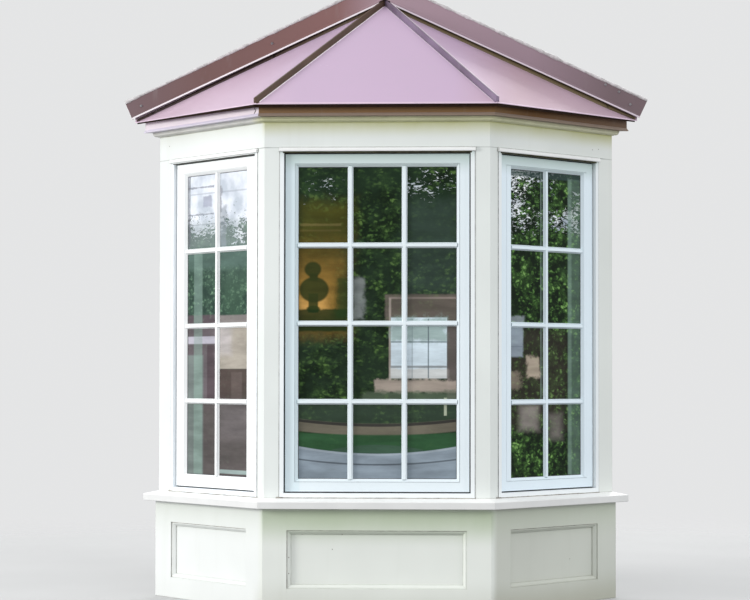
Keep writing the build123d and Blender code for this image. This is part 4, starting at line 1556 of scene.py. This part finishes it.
@dataclass
class WindowUnit:
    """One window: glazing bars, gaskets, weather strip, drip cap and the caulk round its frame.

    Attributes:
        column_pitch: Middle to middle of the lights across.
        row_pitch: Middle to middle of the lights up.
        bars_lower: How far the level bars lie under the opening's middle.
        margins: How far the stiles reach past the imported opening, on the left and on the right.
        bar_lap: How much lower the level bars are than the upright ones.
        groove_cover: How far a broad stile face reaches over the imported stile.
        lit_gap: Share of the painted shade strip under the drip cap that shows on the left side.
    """

    shop: Workshop
    palette: Palette
    side: Side
    columns: int
    column_pitch: float = 0.213
    rows: int = 4
    row_pitch: float = 0.3078
    bars_lower: float = 0.003
    margins: Pair = (0.0, 0.0)
    bar_width: float = 0.022
    bar_face: float = 0.0125
    bar_proud: float = 0.0122
    bar_proud_inside: float = 0.006
    bar_lap: float = 0.0004
    glass_bite: float = 0.008
    gasket: float = 0.0022
    stile_bevel: float = 0.01
    groove_cover: float = 0.0125
    stile_proud: float = 0.0003
    strip_sink: float = 0.009
    caulk: float = 0.0028
    caulk_sink: float = 0.002
    cap_height: float = 0.0155
    cap_proud: float = 0.010
    cap_overrun: float = 0.0035
    # Height of the painted shade strip under the drip cap.
    gap_shade: float = 0.0062
    lit_gap: float = 0.45
    joint_height: float = 0.0024
    frame: Block = field(init=False)
    sash: Block = field(init=False)
    glass: Block = field(init=False)
    sash_finish: Vinyl = field(init=False)

    def __post_init__(self) -> None:
        """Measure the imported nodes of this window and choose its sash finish."""
        self.frame = Block.of(self.side, f"window_frame_{self.side.label}")
        self.sash = Block.of(self.side, f"sash_{self.side.label}")
        self.glass = Block.of(self.side, f"glass_{self.side.label}")
        self.sash_finish = self.palette.sash(self.side)

    def build(self) -> None:
        """Make and dress the whole window."""
        label = self.side.label
        lit = self.side is Side.LEFT
        frame_finish = self.palette.frame_vinyl_left if lit else self.palette.frame_vinyl
        self.shop.dress(f"window_frame_{label}", frame_finish)
        self.shop.dress(f"sash_{label}", self.sash_finish)
        self.shop.dress(f"glass_{label}", self.palette.glass(self.side))
        self.bars("outer", self.glass.d1, 1.0, self.bar_proud, self.margins)
        self.bars("inner", self.glass.d0, -1.0, self.bar_proud_inside, (0.0, 0.0))
        if any(self.margins):
            self.stile_faces()
        self.gaskets()
        self.weather_strip()
        self.frame_caulk()
        self.drip_cap()
        self.cap_shade()
        self.foot_joint()
        LOG.info("window %s done", label)

    def _bar_section(self, proud: float) -> list[Pair]:
        """Draw a bar: a flat face with a hollow bevel on either side.

        Args:
            proud: How far the bar stands off the glass.

        Returns:
            The section's corners.
        """
        half, face, rounding = self.bar_width / 2, self.bar_face / 2, 0.0009
        hollow = (0.45 * half + 0.55 * face, 0.45 * proud)
        right = [(half, 0), (half, 0.12 * proud), hollow, (face, 0.9 * proud), (face - rounding, proud)]
        return right + [(-a, b) for a, b in reversed(right)]

    def bars(self, face: str, depth: float, facing: float, proud: float, margins: Pair) -> None:
        """Make the lattice of bars on one face of the glass.

        Args:
            face: Name of the face, outer or inner.
            depth: Place of the glass face out of the side.
            facing: 1 for bars that stand outwards, -1 for inwards.
            proud: How far the bars stand off the glass.
            margins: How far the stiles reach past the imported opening, on the left and on the right.
        """
        bm = bmesh.new()
        light = self.glass.inset(self.glass_bite - self.gasket)
        middle = (light.u0 + light.u1) / 2
        centre = (light.z0 + light.z1) / 2 - self.bars_lower
        out = self.side.outward * facing
        first = (self.columns - 2) / 2
        uprights = [middle + (k - first) * self.column_pitch for k in range(self.columns - 1)]
        for u in uprights:
            start, end = self.side.point(u, depth, light.z0), self.side.point(u, depth, light.z1)
            add_run(bm, start, end, self.side.along, out, self._bar_section(proud))
        stops = [light.u0 + margins[0], *uprights, light.u1 - margins[1]]
        level_section = self._bar_section(proud - self.bar_lap)
        for row in range(self.rows - 1):
            z = centre + (row - (self.rows - 2) / 2) * self.row_pitch
            for u0, u1 in zip(stops, stops[1:]):
                start, end = self.side.point(u0, depth, z), self.side.point(u1, depth, z)
                add_run(bm, start, end, UP, out, level_section)
        self.shop.add(f"glazing_bars_{face}_{self.side.label}", bm, self.sash_finish)

    def stile_faces(self) -> None:
        """Make the broad outer faces of both stiles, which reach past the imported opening."""
        bm = bmesh.new()
        edge = self.glass.inset(self.glass_bite)
        face, glass, bevel = self.sash.d1 + self.stile_proud, self.glass.d1, self.stile_bevel
        foot, sunk = glass + 0.0012, glass - 0.0005
        for start, margin, turn in ((edge.u0, self.margins[0], 1.0), (edge.u1, self.margins[1], -1.0)):
            inner, outer = start + turn * margin, start - turn * self.groove_cover
            corners = ((outer, face, bevel), (inner - turn * bevel, face, bevel), (inner, foot, 0.0),
                       (inner, sunk, 0.0), (outer, sunk, 0.0))
            low = [self.side.point(u, d, edge.z0 - rise) for u, d, rise in corners]
            high = [self.side.point(u, d, edge.z1 + rise) for u, d, rise in corners]
            add_loft(bm, [low, high])
        self.shop.add(f"stile_faces_{self.side.label}", bm, self.sash_finish)

    def gaskets(self) -> None:
        """Make the dark gasket at the glass, outside and inside."""
        bm = bmesh.new()
        edge = self.glass.inset(self.glass_bite)
        lap, rim, bulge = 0.0004, 0.0009, 0.0016
        for face, out, outline in ((self.glass.d1, 1, edge.cut(*self.margins)), (self.glass.d0, -1, edge)):
            add_ring(bm, self.side, outline, [
                (-lap, face),
                (self.gasket, face),
                (self.gasket * 0.8, face + out * rim),
                (-lap, face + out * bulge),
            ])
        self.shop.add(f"glass_gasket_{self.side.label}", bm, self.palette.gasket)

    def weather_strip(self) -> None:
        """Make the weather strip in the gap round the sash."""
        bm = bmesh.new()
        gap = self.sash.d1 - self.strip_sink
        add_ring(bm, self.side, self.sash, [
            (-0.0048, gap - 0.006),
            (-0.0002, gap - 0.006),
            (-0.0002, gap),
            (-0.0024, gap - 0.002),
            (-0.0048, gap - 0.0005),
        ])
        self.shop.add(f"weather_strip_{self.side.label}", bm, self.palette.gasket)

    def frame_caulk(self) -> None:
        """Make the bead of caulk round the frame."""
        bm = bmesh.new()
        face = self.frame.d1 - self.caulk_sink
        angles = [math.pi * k / 6 for k in range(7)]
        bead = [(0.7 * self.caulk * math.cos(a), face + 0.75 * self.caulk * math.sin(a)) for a in angles]
        add_ring(bm, self.side, self.frame, bead)
        self.shop.add(f"frame_caulk_{self.side.label}", bm, self.palette.caulk, smooth=True)

    def drip_cap(self) -> None:
        """Make the projecting strip over the frame, rounded along its foot."""
        bm = bmesh.new()
        out, high = self.cap_proud, self.cap_height
        section = [(0, 0), (high, 0), (high, 0.45 * out), (0.8 * high, 0.95 * out), (0.3 * high, out),
                   (0.12 * high, 0.96 * out), (0.02 * high, 0.8 * out), (0, 0.6 * out)]
        base, back = self.frame.z1 - high, self.frame.d1 - 0.001
        start = self.side.point(self.frame.u0 - self.cap_overrun, back, base)
        end = self.side.point(self.frame.u1 + self.cap_overrun, back, base)
        add_run(bm, start, end, UP, self.side.outward, section)
        self.shop.add(f"drip_cap_{self.side.label}", bm, self.palette.cap_paint)

    def cap_shade(self) -> None:
        """Make the dark strip of painted shade under the drip cap, narrower on the side that faces the
        light.
        """
        bm = bmesh.new()
        tall = self.gap_shade * (self.lit_gap if self.side is Side.LEFT else 1.0)
        middle = self.frame.z1 - self.cap_height - self.gap_shade + tall / 2
        clear = 0.012
        start = self.side.point(self.frame.u0 + clear, self.frame.d1, middle)
        end = self.side.point(self.frame.u1 - clear, self.frame.d1, middle)
        section = flat_bar(tall / 2, 0.0005, 0.0004)
        add_run(bm, start, end, UP, self.side.outward, section, steps=60, wobble=0.15)
        self.shop.add(f"gap_shade_{self.side.label}", bm, self.palette.gap_shade)

    def foot_joint(self) -> None:
        """Make the open joint where the frame stands on the sill, with a wider gap at its left end."""
        bm = bmesh.new()
        z, face = self.frame.z0 + self.joint_height / 2, self.frame.d1 + 0.0002
        start = self.side.point(self.frame.u0 - 0.012, face, z)
        end = self.side.point(self.frame.u1 + 0.004, face, z)
        section = flat_bar(self.joint_height / 2, 0.0006, 0.0004)
        add_run(bm, start, end, UP, self.side.outward, section, steps=90, wobble=0.7)
        near = self.side.point(self.frame.u0 + 0.014, face, z + 0.0006)
        wide_section = [(1.6 * a, 1.5 * b) for a, b in section]
        add_run(bm, start, near, UP, self.side.outward, wide_section, steps=12, wobble=0.8)
        self.shop.add(f"frame_foot_joint_{self.side.label}", bm, self.palette.joint)


@dataclass(frozen=True)
class RoofHalf:
    """One half of the roof, with the sizes that differ from the other half's.

    Attributes:
        label: Side of the half, as the node names have it.
        hand: Which way it lies, -1 for left and 1 for right.
        strip_reach: How far the painted shade strip comes out from the wall.
        strip_full: How far from the pan's tip it has its full reach.
        lip: How far the flashing's lip hangs down, at its foot and at its peak.
        foot_highlight: Height of the painted highlight at the rib's foot.
        crown_highlight: Whether the rib's crown gets a painted highlight too.
        highlight_end: Whether the flashing's end gets the painted highlight too.
        screws: X of each screw, and how far it lies below the flashing's top edge.
    """

    label: str
    hand: int
    strip_reach: float
    strip_full: float
    lip: Pair
    foot_highlight: float
    crown_highlight: bool
    highlight_end: bool
    screws: tuple[Pair, ...]

    @property
    def hip_run(self) -> Vector:
        """Run of the hip, from its foot up to the peak."""
        return Vector((-self.hand * HIP_ACROSS, HIP_BACK, HIP_RISE))


@dataclass
class Roof:
    """Metal roof: dressed pans, ribs, fascia and flashings, with their small folded and soft parts.

    Attributes:
        strip_tip: Reach of the painted shade strip at the pan's tip.
        rib_clear: How far the painted shade strip stops short of the middle.
        lip_clear: How far the flashing's lip stops short of the peak.
        highlight_edge: Height of the painted highlight on a flashing's hem.
        flashing_kick: How far a flashing's lower edge stands off the wall more than its top.
        split_places: Course of the split in the left fascia, as X and height.
    """

    shop: Workshop
    palette: Palette
    halves: tuple[RoofHalf, RoofHalf] = (
        RoofHalf("left", -1, strip_reach=0.026, strip_full=0.7, lip=(0.0031, 0.0117), foot_highlight=0.0022,
                 crown_highlight=False, highlight_end=True, screws=((-1.022, 0.043), (-0.472, 0.042))),
        RoofHalf("right", 1, strip_reach=0.03, strip_full=0.14, lip=(0.0066, 0.0113), foot_highlight=0.0006,
                 crown_highlight=True, highlight_end=False, screws=((0.918, 0.015), (0.974, 0.018), (1.02, 0.047))),
    )
    screw_radius: float = 0.0036
    washer_radius: float = 0.0056
    screw_tilt: float = math.radians(90 + 12)
    bead: float = 0.0065
    rib_gap: float = 0.0145
    strip_back: float = 0.0135
    strip_rise: float = 0.008
    strip_tip: float = 0.008
    rib_clear: float = 0.036
    lip_clear: float = 0.024
    highlight_edge: float = 0.0072
    sheet_thick: float = 0.0006
    # Sizes of the painted shade strips under the eaves.
    painted_shade_height: float = 0.0125
    painted_shade_thin: float = 0.006
    painted_shade_gap: float = 0.012
    painted_shade_sink: float = 0.0035
    flashing_thick: float = 0.005
    flashing_face: float = 0.071
    flashing_kick: float = 0.0152
    split_places: tuple[Pair, ...] = (
        (-0.4775, 1.9725), (-0.4805, 1.965), (-0.4755, 1.955), (-0.4825, 1.9445), (-0.4805, 1.937))

    def build(self) -> None:
        """Make and dress the roof."""
        self.shop.dress_all({
            "roof_pan": self.palette.roof,
            "hip_rib_left": self.palette.rib_left,
            "hip_rib_right": self.palette.rib_right,
            "drip_fascia": self.palette.fascia,
            "drip_fascia_left": self.palette.fascia_left,
            "wall_flashing": self.palette.flashing,
        })
        for half in self.halves:
            self.sealant(half)
            self.painted_shade_strip(half)
            self.screws(half)
            self.flashing_lip(half)
            self.rib_top(half)
            self.rib_highlight(half)
        for side in Side:
            self.eave_painted_shade(side)
        self.split()
        LOG.info("roof done")

    @staticmethod
    def _clamped(bm: bmesh.types.BMesh) -> None:
        """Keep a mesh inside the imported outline.

        Args:
            bm: The mesh.
        """
        low, high = CAD_BOX
        for vert in bm.verts:
            for k in range(3):
                vert.co[k] = min(max(vert.co[k], low[k]), high[k])

    @staticmethod
    def _band(bm: bmesh.types.BMesh, upper: tuple[Vector, Vector], lower: tuple[Vector, Vector],
              thick: float) -> None:
        """Add an upright strip of sheet between two sloping lines.

        Args:
            bm: Mesh that gets the strip.
            upper: Start and end of the upper line.
            lower: Start and end of the lower line.
            thick: Thickness of the strip, towards the front.
        """
        back = [upper[0], upper[1], lower[1], lower[0]]
        add_loft(bm, [back, [corner + FRONTWARD * thick for corner in back]])

    def sealant(self, half: RoofHalf) -> None:
        """Make the uneven bead along the top of one flashing.

        Args:
            half: Half of the roof.
        """
        foot, peak = longest_edge(f"wall_flashing_{half.label}")
        across = (peak - foot).normalized().cross(FRONTWARD)
        across = across if across.z > 0 else -across
        angles = [math.tau * k / 8 for k in range(8)]
        section = [(self.bead * math.cos(a), self.bead * 0.8 * math.sin(a)) for a in angles]
        foot.y = peak.y = WALL_Y - self.bead * 0.7
        shift = across * 0.001
        bm = bmesh.new()
        add_run(bm, foot - shift, peak - shift, across, FRONTWARD, section, steps=150, wobble=0.55)
        self._clamped(bm)
        self.shop.add(f"flashing_sealant_{half.label}", bm, self.palette.sealant, smooth=True)

    def painted_shade_strip(self, half: RoofHalf) -> None:
        """Make the dark strip of painted shade between one side pan and the hem of its flashing.

        Args:
            half: Half of the roof.
        """
        pan = f"roof_pan_{half.label}"
        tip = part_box(pan)[0 if half.hand < 0 else 1].x
        point, normal = top_face(pan)

        def height(x: float, y: float) -> float:
            """Height of the pan's upper side."""
            return point.z - (normal.x * (x - point.x) + normal.y * (y - point.y)) / normal.z

        stations = ((tip - half.hand * self.strip_tip, self.strip_tip),
                    (tip - half.hand * half.strip_full, half.strip_reach),
                    (half.hand * self.rib_clear, half.strip_reach))
        low, high = [], []
        for x, reach in stations:
            low.append(Vector((x, WALL_Y - reach, height(x, WALL_Y - reach))))
            back = WALL_Y - min(reach, self.strip_back)
            high.append(Vector((x, back, height(x, WALL_Y) + self.strip_rise)))
        bm = bmesh.new()
        for k in range(len(stations) - 1):
            self._band(bm, (high[k], high[k + 1]), (low[k], low[k + 1]), self.sheet_thick * 2)
        self.shop.add(f"flashing_painted_shade_{half.label}", bm, self.palette.bronze)

    def flashing_lip(self, half: RoofHalf) -> None:
        """Make the lip under the kicked hem of one flashing, and the painted highlight along its foot.

        Args:
            half: Half of the roof.
        """
        name = f"wall_flashing_{half.label}"
        foot, peak = longest_edge(name)
        slope = (peak - foot).normalized()
        corners = [v.co.copy() for v in mesh_of(name).vertices]
        front = min(c.y for c in corners)
        rim = [c for c in corners if c.y < front + 1e-5]
        start, end = min(rim, key=lambda c: c.z), max(rim, key=lambda c: c.z)
        end = start.lerp(end, 1.0 - self.lip_clear / abs(end.x - start.x))
        low_start, low_end = (corner - UP * drop for corner, drop in zip((start, end), half.lip))
        lip, highlight = bmesh.new(), bmesh.new()
        self._band(lip, (start, end), (low_start, low_end), self.sheet_thick)
        # Painted highlight along the flashing's lower edge.
        rise = UP * self.highlight_edge
        self._band(highlight, (low_start + rise, low_end + rise), (low_start, low_end), self.sheet_thick * 2)
        if half.highlight_end:
            out = slope.cross((foot - low_start).normalized())
            add_run(highlight, low_start, foot, slope, out, flat_bar(0.0008, 0.0006, 0.0006))
        self._clamped(lip)
        self.shop.add(f"flashing_lip_{half.label}", lip, self.palette.flashing)
        self._clamped(highlight)
        self.shop.add(f"flashing_highlight_{half.label}", highlight, self.palette.flashing_highlight)

    def rib_top(self, half: RoofHalf) -> None:
        """Carry one hip rib on to the peak, under the flashings.

        Args:
            half: Half of the roof.
        """
        bm = bmesh.new()
        bm.from_mesh(mesh_of(f"hip_rib_{half.label}"))
        end = max(v.co.y for v in bm.verts)
        body = [f for f in bm.faces if any(v.co.y < end - 2e-4 for v in f.verts)]
        bmesh.ops.delete(bm, geom=body, context="FACES")
        grown = bmesh.ops.extrude_face_region(bm, geom=bm.faces[:])
        moved = [item for item in grown["geom"] if isinstance(item, bmesh.types.BMVert)]
        bmesh.ops.translate(bm, vec=half.hip_run * (self.rib_gap / HIP_ACROSS), verts=moved)
        finish = self.palette.rib_left if half.hand < 0 else self.palette.rib_right
        self.shop.add(f"rib_top_{half.label}", bm, finish)

    def rib_highlight(self, half: RoofHalf) -> None:
        """Make the painted highlights of one hip rib: at its foot, and on one rib also along its crown.

        Args:
            half: Half of the roof.
        """
        corners = [v.co.copy() for v in mesh_of(f"hip_rib_{half.label}").vertices]
        run = half.hip_run.normalized()
        across = run.cross(UP).normalized()
        across = across if across.x > 0 else -across
        out = across.cross(run)
        out = out if out.z > 0 else -out
        low, high = min(c.dot(run) for c in corners), max(c.dot(run) for c in corners)
        near = 0.02
        groups = ([c for c in corners if c.dot(run) < low + near],
                  [c for c in corners if c.dot(run) > high - near])
        bm = bmesh.new()
        if half.crown_highlight:
            start, end = (max(group, key=lambda c: c.dot(across) + c.dot(out)) for group in groups)
            slope = (end - start).normalized()
            section = [(-0.0034, -0.0012), (0.0012, -0.0012), (0.0012, 0.0008), (-0.0034, 0.0008)]
            start, end = start + slope * 0.004, end - slope * 0.002
            add_run(bm, start, end, across, out, section, steps=30, wobble=0.3)
        inner = across * -half.hand
        tops = [max(group, key=lambda c: c.dot(inner) + c.dot(out)) for group in groups]
        point, normal = top_face("roof_pan_front")
        lean, sink = 0.0034, 0.0017
        share = out.dot(normal)
        start, end = (c + inner * lean - out * ((c - point).dot(normal) / share + sink) for c in tops)
        section = [(-0.002, -0.001), (0.0014, -0.001), (0.001, half.foot_highlight), (-0.002, half.foot_highlight)]
        add_run(bm, start, end, inner, out, section, steps=30, wobble=0.3)
        self.shop.add(f"rib_highlight_{half.label}", bm, self.palette.flashing_highlight)

    def eave_painted_shade(self, side: Side) -> None:
        """Make the dark strip of painted shade between one pan's eave and the fascia under it.

        Args:
            side: Side of the bay.
        """
        pan = Block.of(side, f"roof_pan_{side.label}")
        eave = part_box("roof_pan_front")[0].z + 0.001
        face = pan.d1 - self.painted_shade_sink
        rings = []
        for d in (face - 0.001, face + 0.0012):
            ends = mitred_ends(side, pan, d, self.painted_shade_gap)
            falls = [self.painted_shade_thin if abs(u) > 0.6 else self.painted_shade_height for u in ends]
            foot = [side.point(u, d, eave - fall) for u, fall in zip(ends, falls)]
            rings.append(foot + [side.point(u, d, eave) for u in reversed(ends)])
        bm = bmesh.new()
        add_loft(bm, rings)
        self._clamped(bm)
        self.shop.add(f"eave_painted_shade_{side.label}", bm, self.palette.painted_shade)

    def split(self) -> None:
        """Make the split in the left fascia close to the corner."""
        side = Side.LEFT
        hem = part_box("drip_fascia_left")[0].z + 0.012
        above = [v.co for v in mesh_of("drip_fascia_left").vertices if v.co.z > hem + 0.004]
        face = max(corner.dot(side.outward) for corner in above)
        places = [Vector((x, -(face / math.cos(SIDE_TURN) + x), z)) for x, z in self.split_places]
        bm = bmesh.new()
        for start, end in zip(places, places[1:]):
            across = (end - start).normalized().cross(side.outward)
            add_run(bm, start, end, across, side.outward, flat_bar(0.0024, 0.0004, 0.0006, 0.002), steps=6,
                    wobble=0.7)
        self.shop.add("fascia_split", bm, self.palette.painted_shade)

    def screws(self, half: RoofHalf) -> None:
        """Make the hexagon-headed screws with washers on one flashing.

        Args:
            half: Half of the roof.
        """
        foot, peak = longest_edge(f"wall_flashing_{half.label}")
        slope = (peak - foot).normalized()
        down = Vector((slope.z, 0, -slope.x)) if slope.x > 0 else Vector((-slope.z, 0, slope.x))
        sink = 0.0004
        bm = bmesh.new()
        for x, drop in half.screws:
            share = (x - down.x * drop - foot.x) / (peak.x - foot.x)
            hub = foot.lerp(peak, share) + down * drop
            hub.y = WALL_Y - self.flashing_thick - self.flashing_kick * drop / self.flashing_face - sink
            tilt = Matrix.Translation(hub) @ Matrix.Rotation(self.screw_tilt, 4, "X")
            for radius, depth, sides, lift in ((self.washer_radius, 0.0016, 20, 0.0008),
                                               (self.screw_radius, 0.0042, 6, 0.0032)):
                bmesh.ops.create_cone(bm, cap_ends=True, segments=sides, radius1=radius,
                                      radius2=radius * 0.93, depth=depth,
                                      matrix=tilt @ Matrix.Translation((0, 0, lift)))
        self.shop.add(f"flashing_screws_{half.label}", bm, self.palette.screw)


@dataclass(frozen=True)
class Lamp:
    """A large soft lamp."""

    name: str
    place: Triple
    size: float
    power: float
    colour: Colour

    def hang(self, aim: Vector) -> None:
        """Add the lamp to the scene.

        Args:
            aim: Where it is aimed.
        """
        lamp = bpy.data.lights.new(self.name, "AREA")
        lamp.shape = "DISK"
        lamp.size = self.size
        lamp.energy = self.power
        lamp.color = self.colour
        holder = bpy.data.objects.new(self.name, lamp)
        bpy.context.scene.collection.objects.link(holder)
        holder.location = self.place
        holder.rotation_euler = (aim - Vector(self.place)).to_track_quat("-Z", "Y").to_euler()


@dataclass(frozen=True)
class Studio:
    """Plain pale surroundings: floor, background, soft lamps and the camera."""

    pale: Colour = (0.78, 0.785, 0.79)
    ambient_colour: Colour = (0.97, 0.985, 1.0)
    ambient_high: float = 1.15
    ambient_low: float = 0.26
    ambient_band: Pair = (-0.35, 0.08)
    floor_radius: float = 9.0
    floor_full: float = 2.2
    floor_gone: float = 5.5
    floor_sink: float = 0.0005
    lamps: tuple[Lamp, ...] = (
        Lamp("key_lamp", (-8.6, -4.2, 2.9), 3.0, 505.0, (1.0, 0.99, 0.97)),
        Lamp("fill_lamp", (8.5, -4.5, 3.5), 4.0, 118.0, (0.97, 0.985, 1.0)),
        Lamp("back_lamp", (1.5, 6.5, 4.5), 5.0, 120.0, WHITE),
    )
    aim: Triple = (0.0, 0.0, 1.2)
    camera_place: Triple = (0.51174, -8.12803, 0.92399)
    camera_yaw: float = 2.34
    camera_pitch: float = 1.24
    camera_roll: float = 0.04
    lens: float = 97.15
    shift_px: Pair = (-50.0, 30.0)

    def build(self) -> None:
        """Set up the whole studio."""
        scene = bpy.context.scene
        scene.view_settings.view_transform = "Standard"
        self._world(scene)
        self._floor()
        for lamp in self.lamps:
            lamp.hang(Vector(self.aim))
        self._camera(scene)
        LOG.info("studio ready")

    def _world(self, scene: bpy.types.Scene) -> None:
        """Light the scene evenly, with the pale background for what the camera and gloss see.

        Args:
            scene: The scene.
        """
        world = bpy.data.worlds.new("studio_world")
        scene.world = world
        world.use_nodes = True
        tree = world.node_tree
        tree.nodes.clear()

        def node(kind: str, **inputs: object) -> bpy.types.Node:
            """Add a node.

            Args:
                kind: Type name of the node.
                inputs: Numbers or colours for its inputs, named with underscores for spaces.

            Returns:
                The new node.
            """
            made = tree.nodes.new(kind)
            for key, value in inputs.items():
                made.inputs[key.replace("_", " ")].default_value = value
            return made

        join = tree.links.new
        path = node("ShaderNodeLightPath")
        seen, both = node("ShaderNodeMath"), node("ShaderNodeMath")
        seen.operation = both.operation = "MAXIMUM"
        join(path.outputs["Is Camera Ray"], seen.inputs[0])
        join(path.outputs["Is Glossy Ray"], both.inputs[0])
        join(path.outputs["Is Transmission Ray"], both.inputs[1])
        join(both.outputs[0], seen.inputs[1])
        split = node("ShaderNodeSeparateXYZ")
        join(node("ShaderNodeTexCoord").outputs["Generated"], split.inputs[0])
        low, high = self.ambient_band
        rise = node("ShaderNodeMapRange", From_Min=low, From_Max=high, To_Min=self.ambient_low,
                    To_Max=self.ambient_high)
        join(split.outputs["Z"], rise.inputs["Value"])
        light = node("ShaderNodeBackground", Color=(*self.ambient_colour, 1))
        join(rise.outputs["Result"], light.inputs["Strength"])
        backdrop = node("ShaderNodeBackground", Color=(*self.pale, 1))
        mix = node("ShaderNodeMixShader")
        for socket, source in enumerate((seen, light, backdrop)):
            join(source.outputs[0], mix.inputs[socket])
        join(mix.outputs[0], node("ShaderNodeOutputWorld").inputs["Surface"])

    def _floor(self) -> None:
        """Make the pale floor, which fades into the background away from the object."""
        bm = bmesh.new()
        bmesh.ops.create_circle(bm, cap_ends=True, segments=96, radius=self.floor_radius)
        mesh = bpy.data.meshes.new("studio_floor")
        bm.to_mesh(mesh)
        bm.free()
        floor = bpy.data.objects.new("studio_floor", mesh)
        bpy.context.scene.collection.objects.link(floor)
        floor.location.z = -self.floor_sink
        g = Graph("studio_floor")
        cloud = g.noise(scale=1.2, detail=3.0)
        colour = g.ramp(cloud, [(0.3, (0.52, 0.522, 0.52)), (0.7, (0.55, 0.552, 0.55))])
        g.join(colour, g.shader.inputs["Base Color"])
        g.set(Roughness=0.9, Specular_IOR_Level=0.1)
        length = g.node("ShaderNodeVectorMath", operation="LENGTH")
        g.join(g.place, length.inputs[0])
        fade = g.band(length.outputs["Value"], self.floor_full, self.floor_gone, 1.0, 0.0)
        g.join(fade, g.shader.inputs["Alpha"])
        mesh.materials.append(g.material)
        floor.visible_diffuse = False

    def _camera(self, scene: bpy.types.Scene) -> None:
        """Set up the camera at the photograph's viewpoint.

        Args:
            scene: The scene.
        """
        data = bpy.data.cameras.new("camera")
        data.sensor_width = 36.0
        data.lens = self.lens
        data.shift_x, data.shift_y = (shift / PHOTO_WIDTH for shift in self.shift_px)
        data.clip_end = 100.0
        camera = bpy.data.objects.new("camera", data)
        scene.collection.objects.link(camera)
        camera.location = self.camera_place
        turns = ((self.camera_yaw, "Z"), (90 + self.camera_pitch, "X"), (self.camera_roll, "Z"))
        turn, tilt, roll = (Matrix.Rotation(math.radians(angle), 3, axis) for angle, axis in turns)
        camera.rotation_euler = (turn @ tilt @ roll).to_euler()
        scene.camera = camera


def main() -> None:
    """Build the studio and dress the bay window, sub-assembly by sub-assembly."""
    logging.basicConfig(level=logging.INFO, format="%(message)s")
    shop = Workshop()
    palette = Palette(
        frieze_top=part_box("frieze_front")[1].z,
        sill_foot=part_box("sill_front")[0].z,
        head=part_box("corner_post_left")[1].z,
        fascia_hem=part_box("drip_fascia_front")[0].z + 0.012,
    )
    Studio().build()
    Carpentry(shop, palette).build()
    WindowUnit(shop, palette, Side.LEFT, 2, bars_lower=0.006, margins=(0.0095, 0.0215)).build()
    WindowUnit(shop, palette, Side.FRONT, 3, bars_lower=0.0034).build()
    WindowUnit(shop, palette, Side.RIGHT, 2, bars_lower=0.006, margins=(0.0215, 0.0095)).build()
    Roof(shop, palette).build()
    LOG.info("%d pieces made", shop.pieces)


if __name__ == "__main__":
    main()
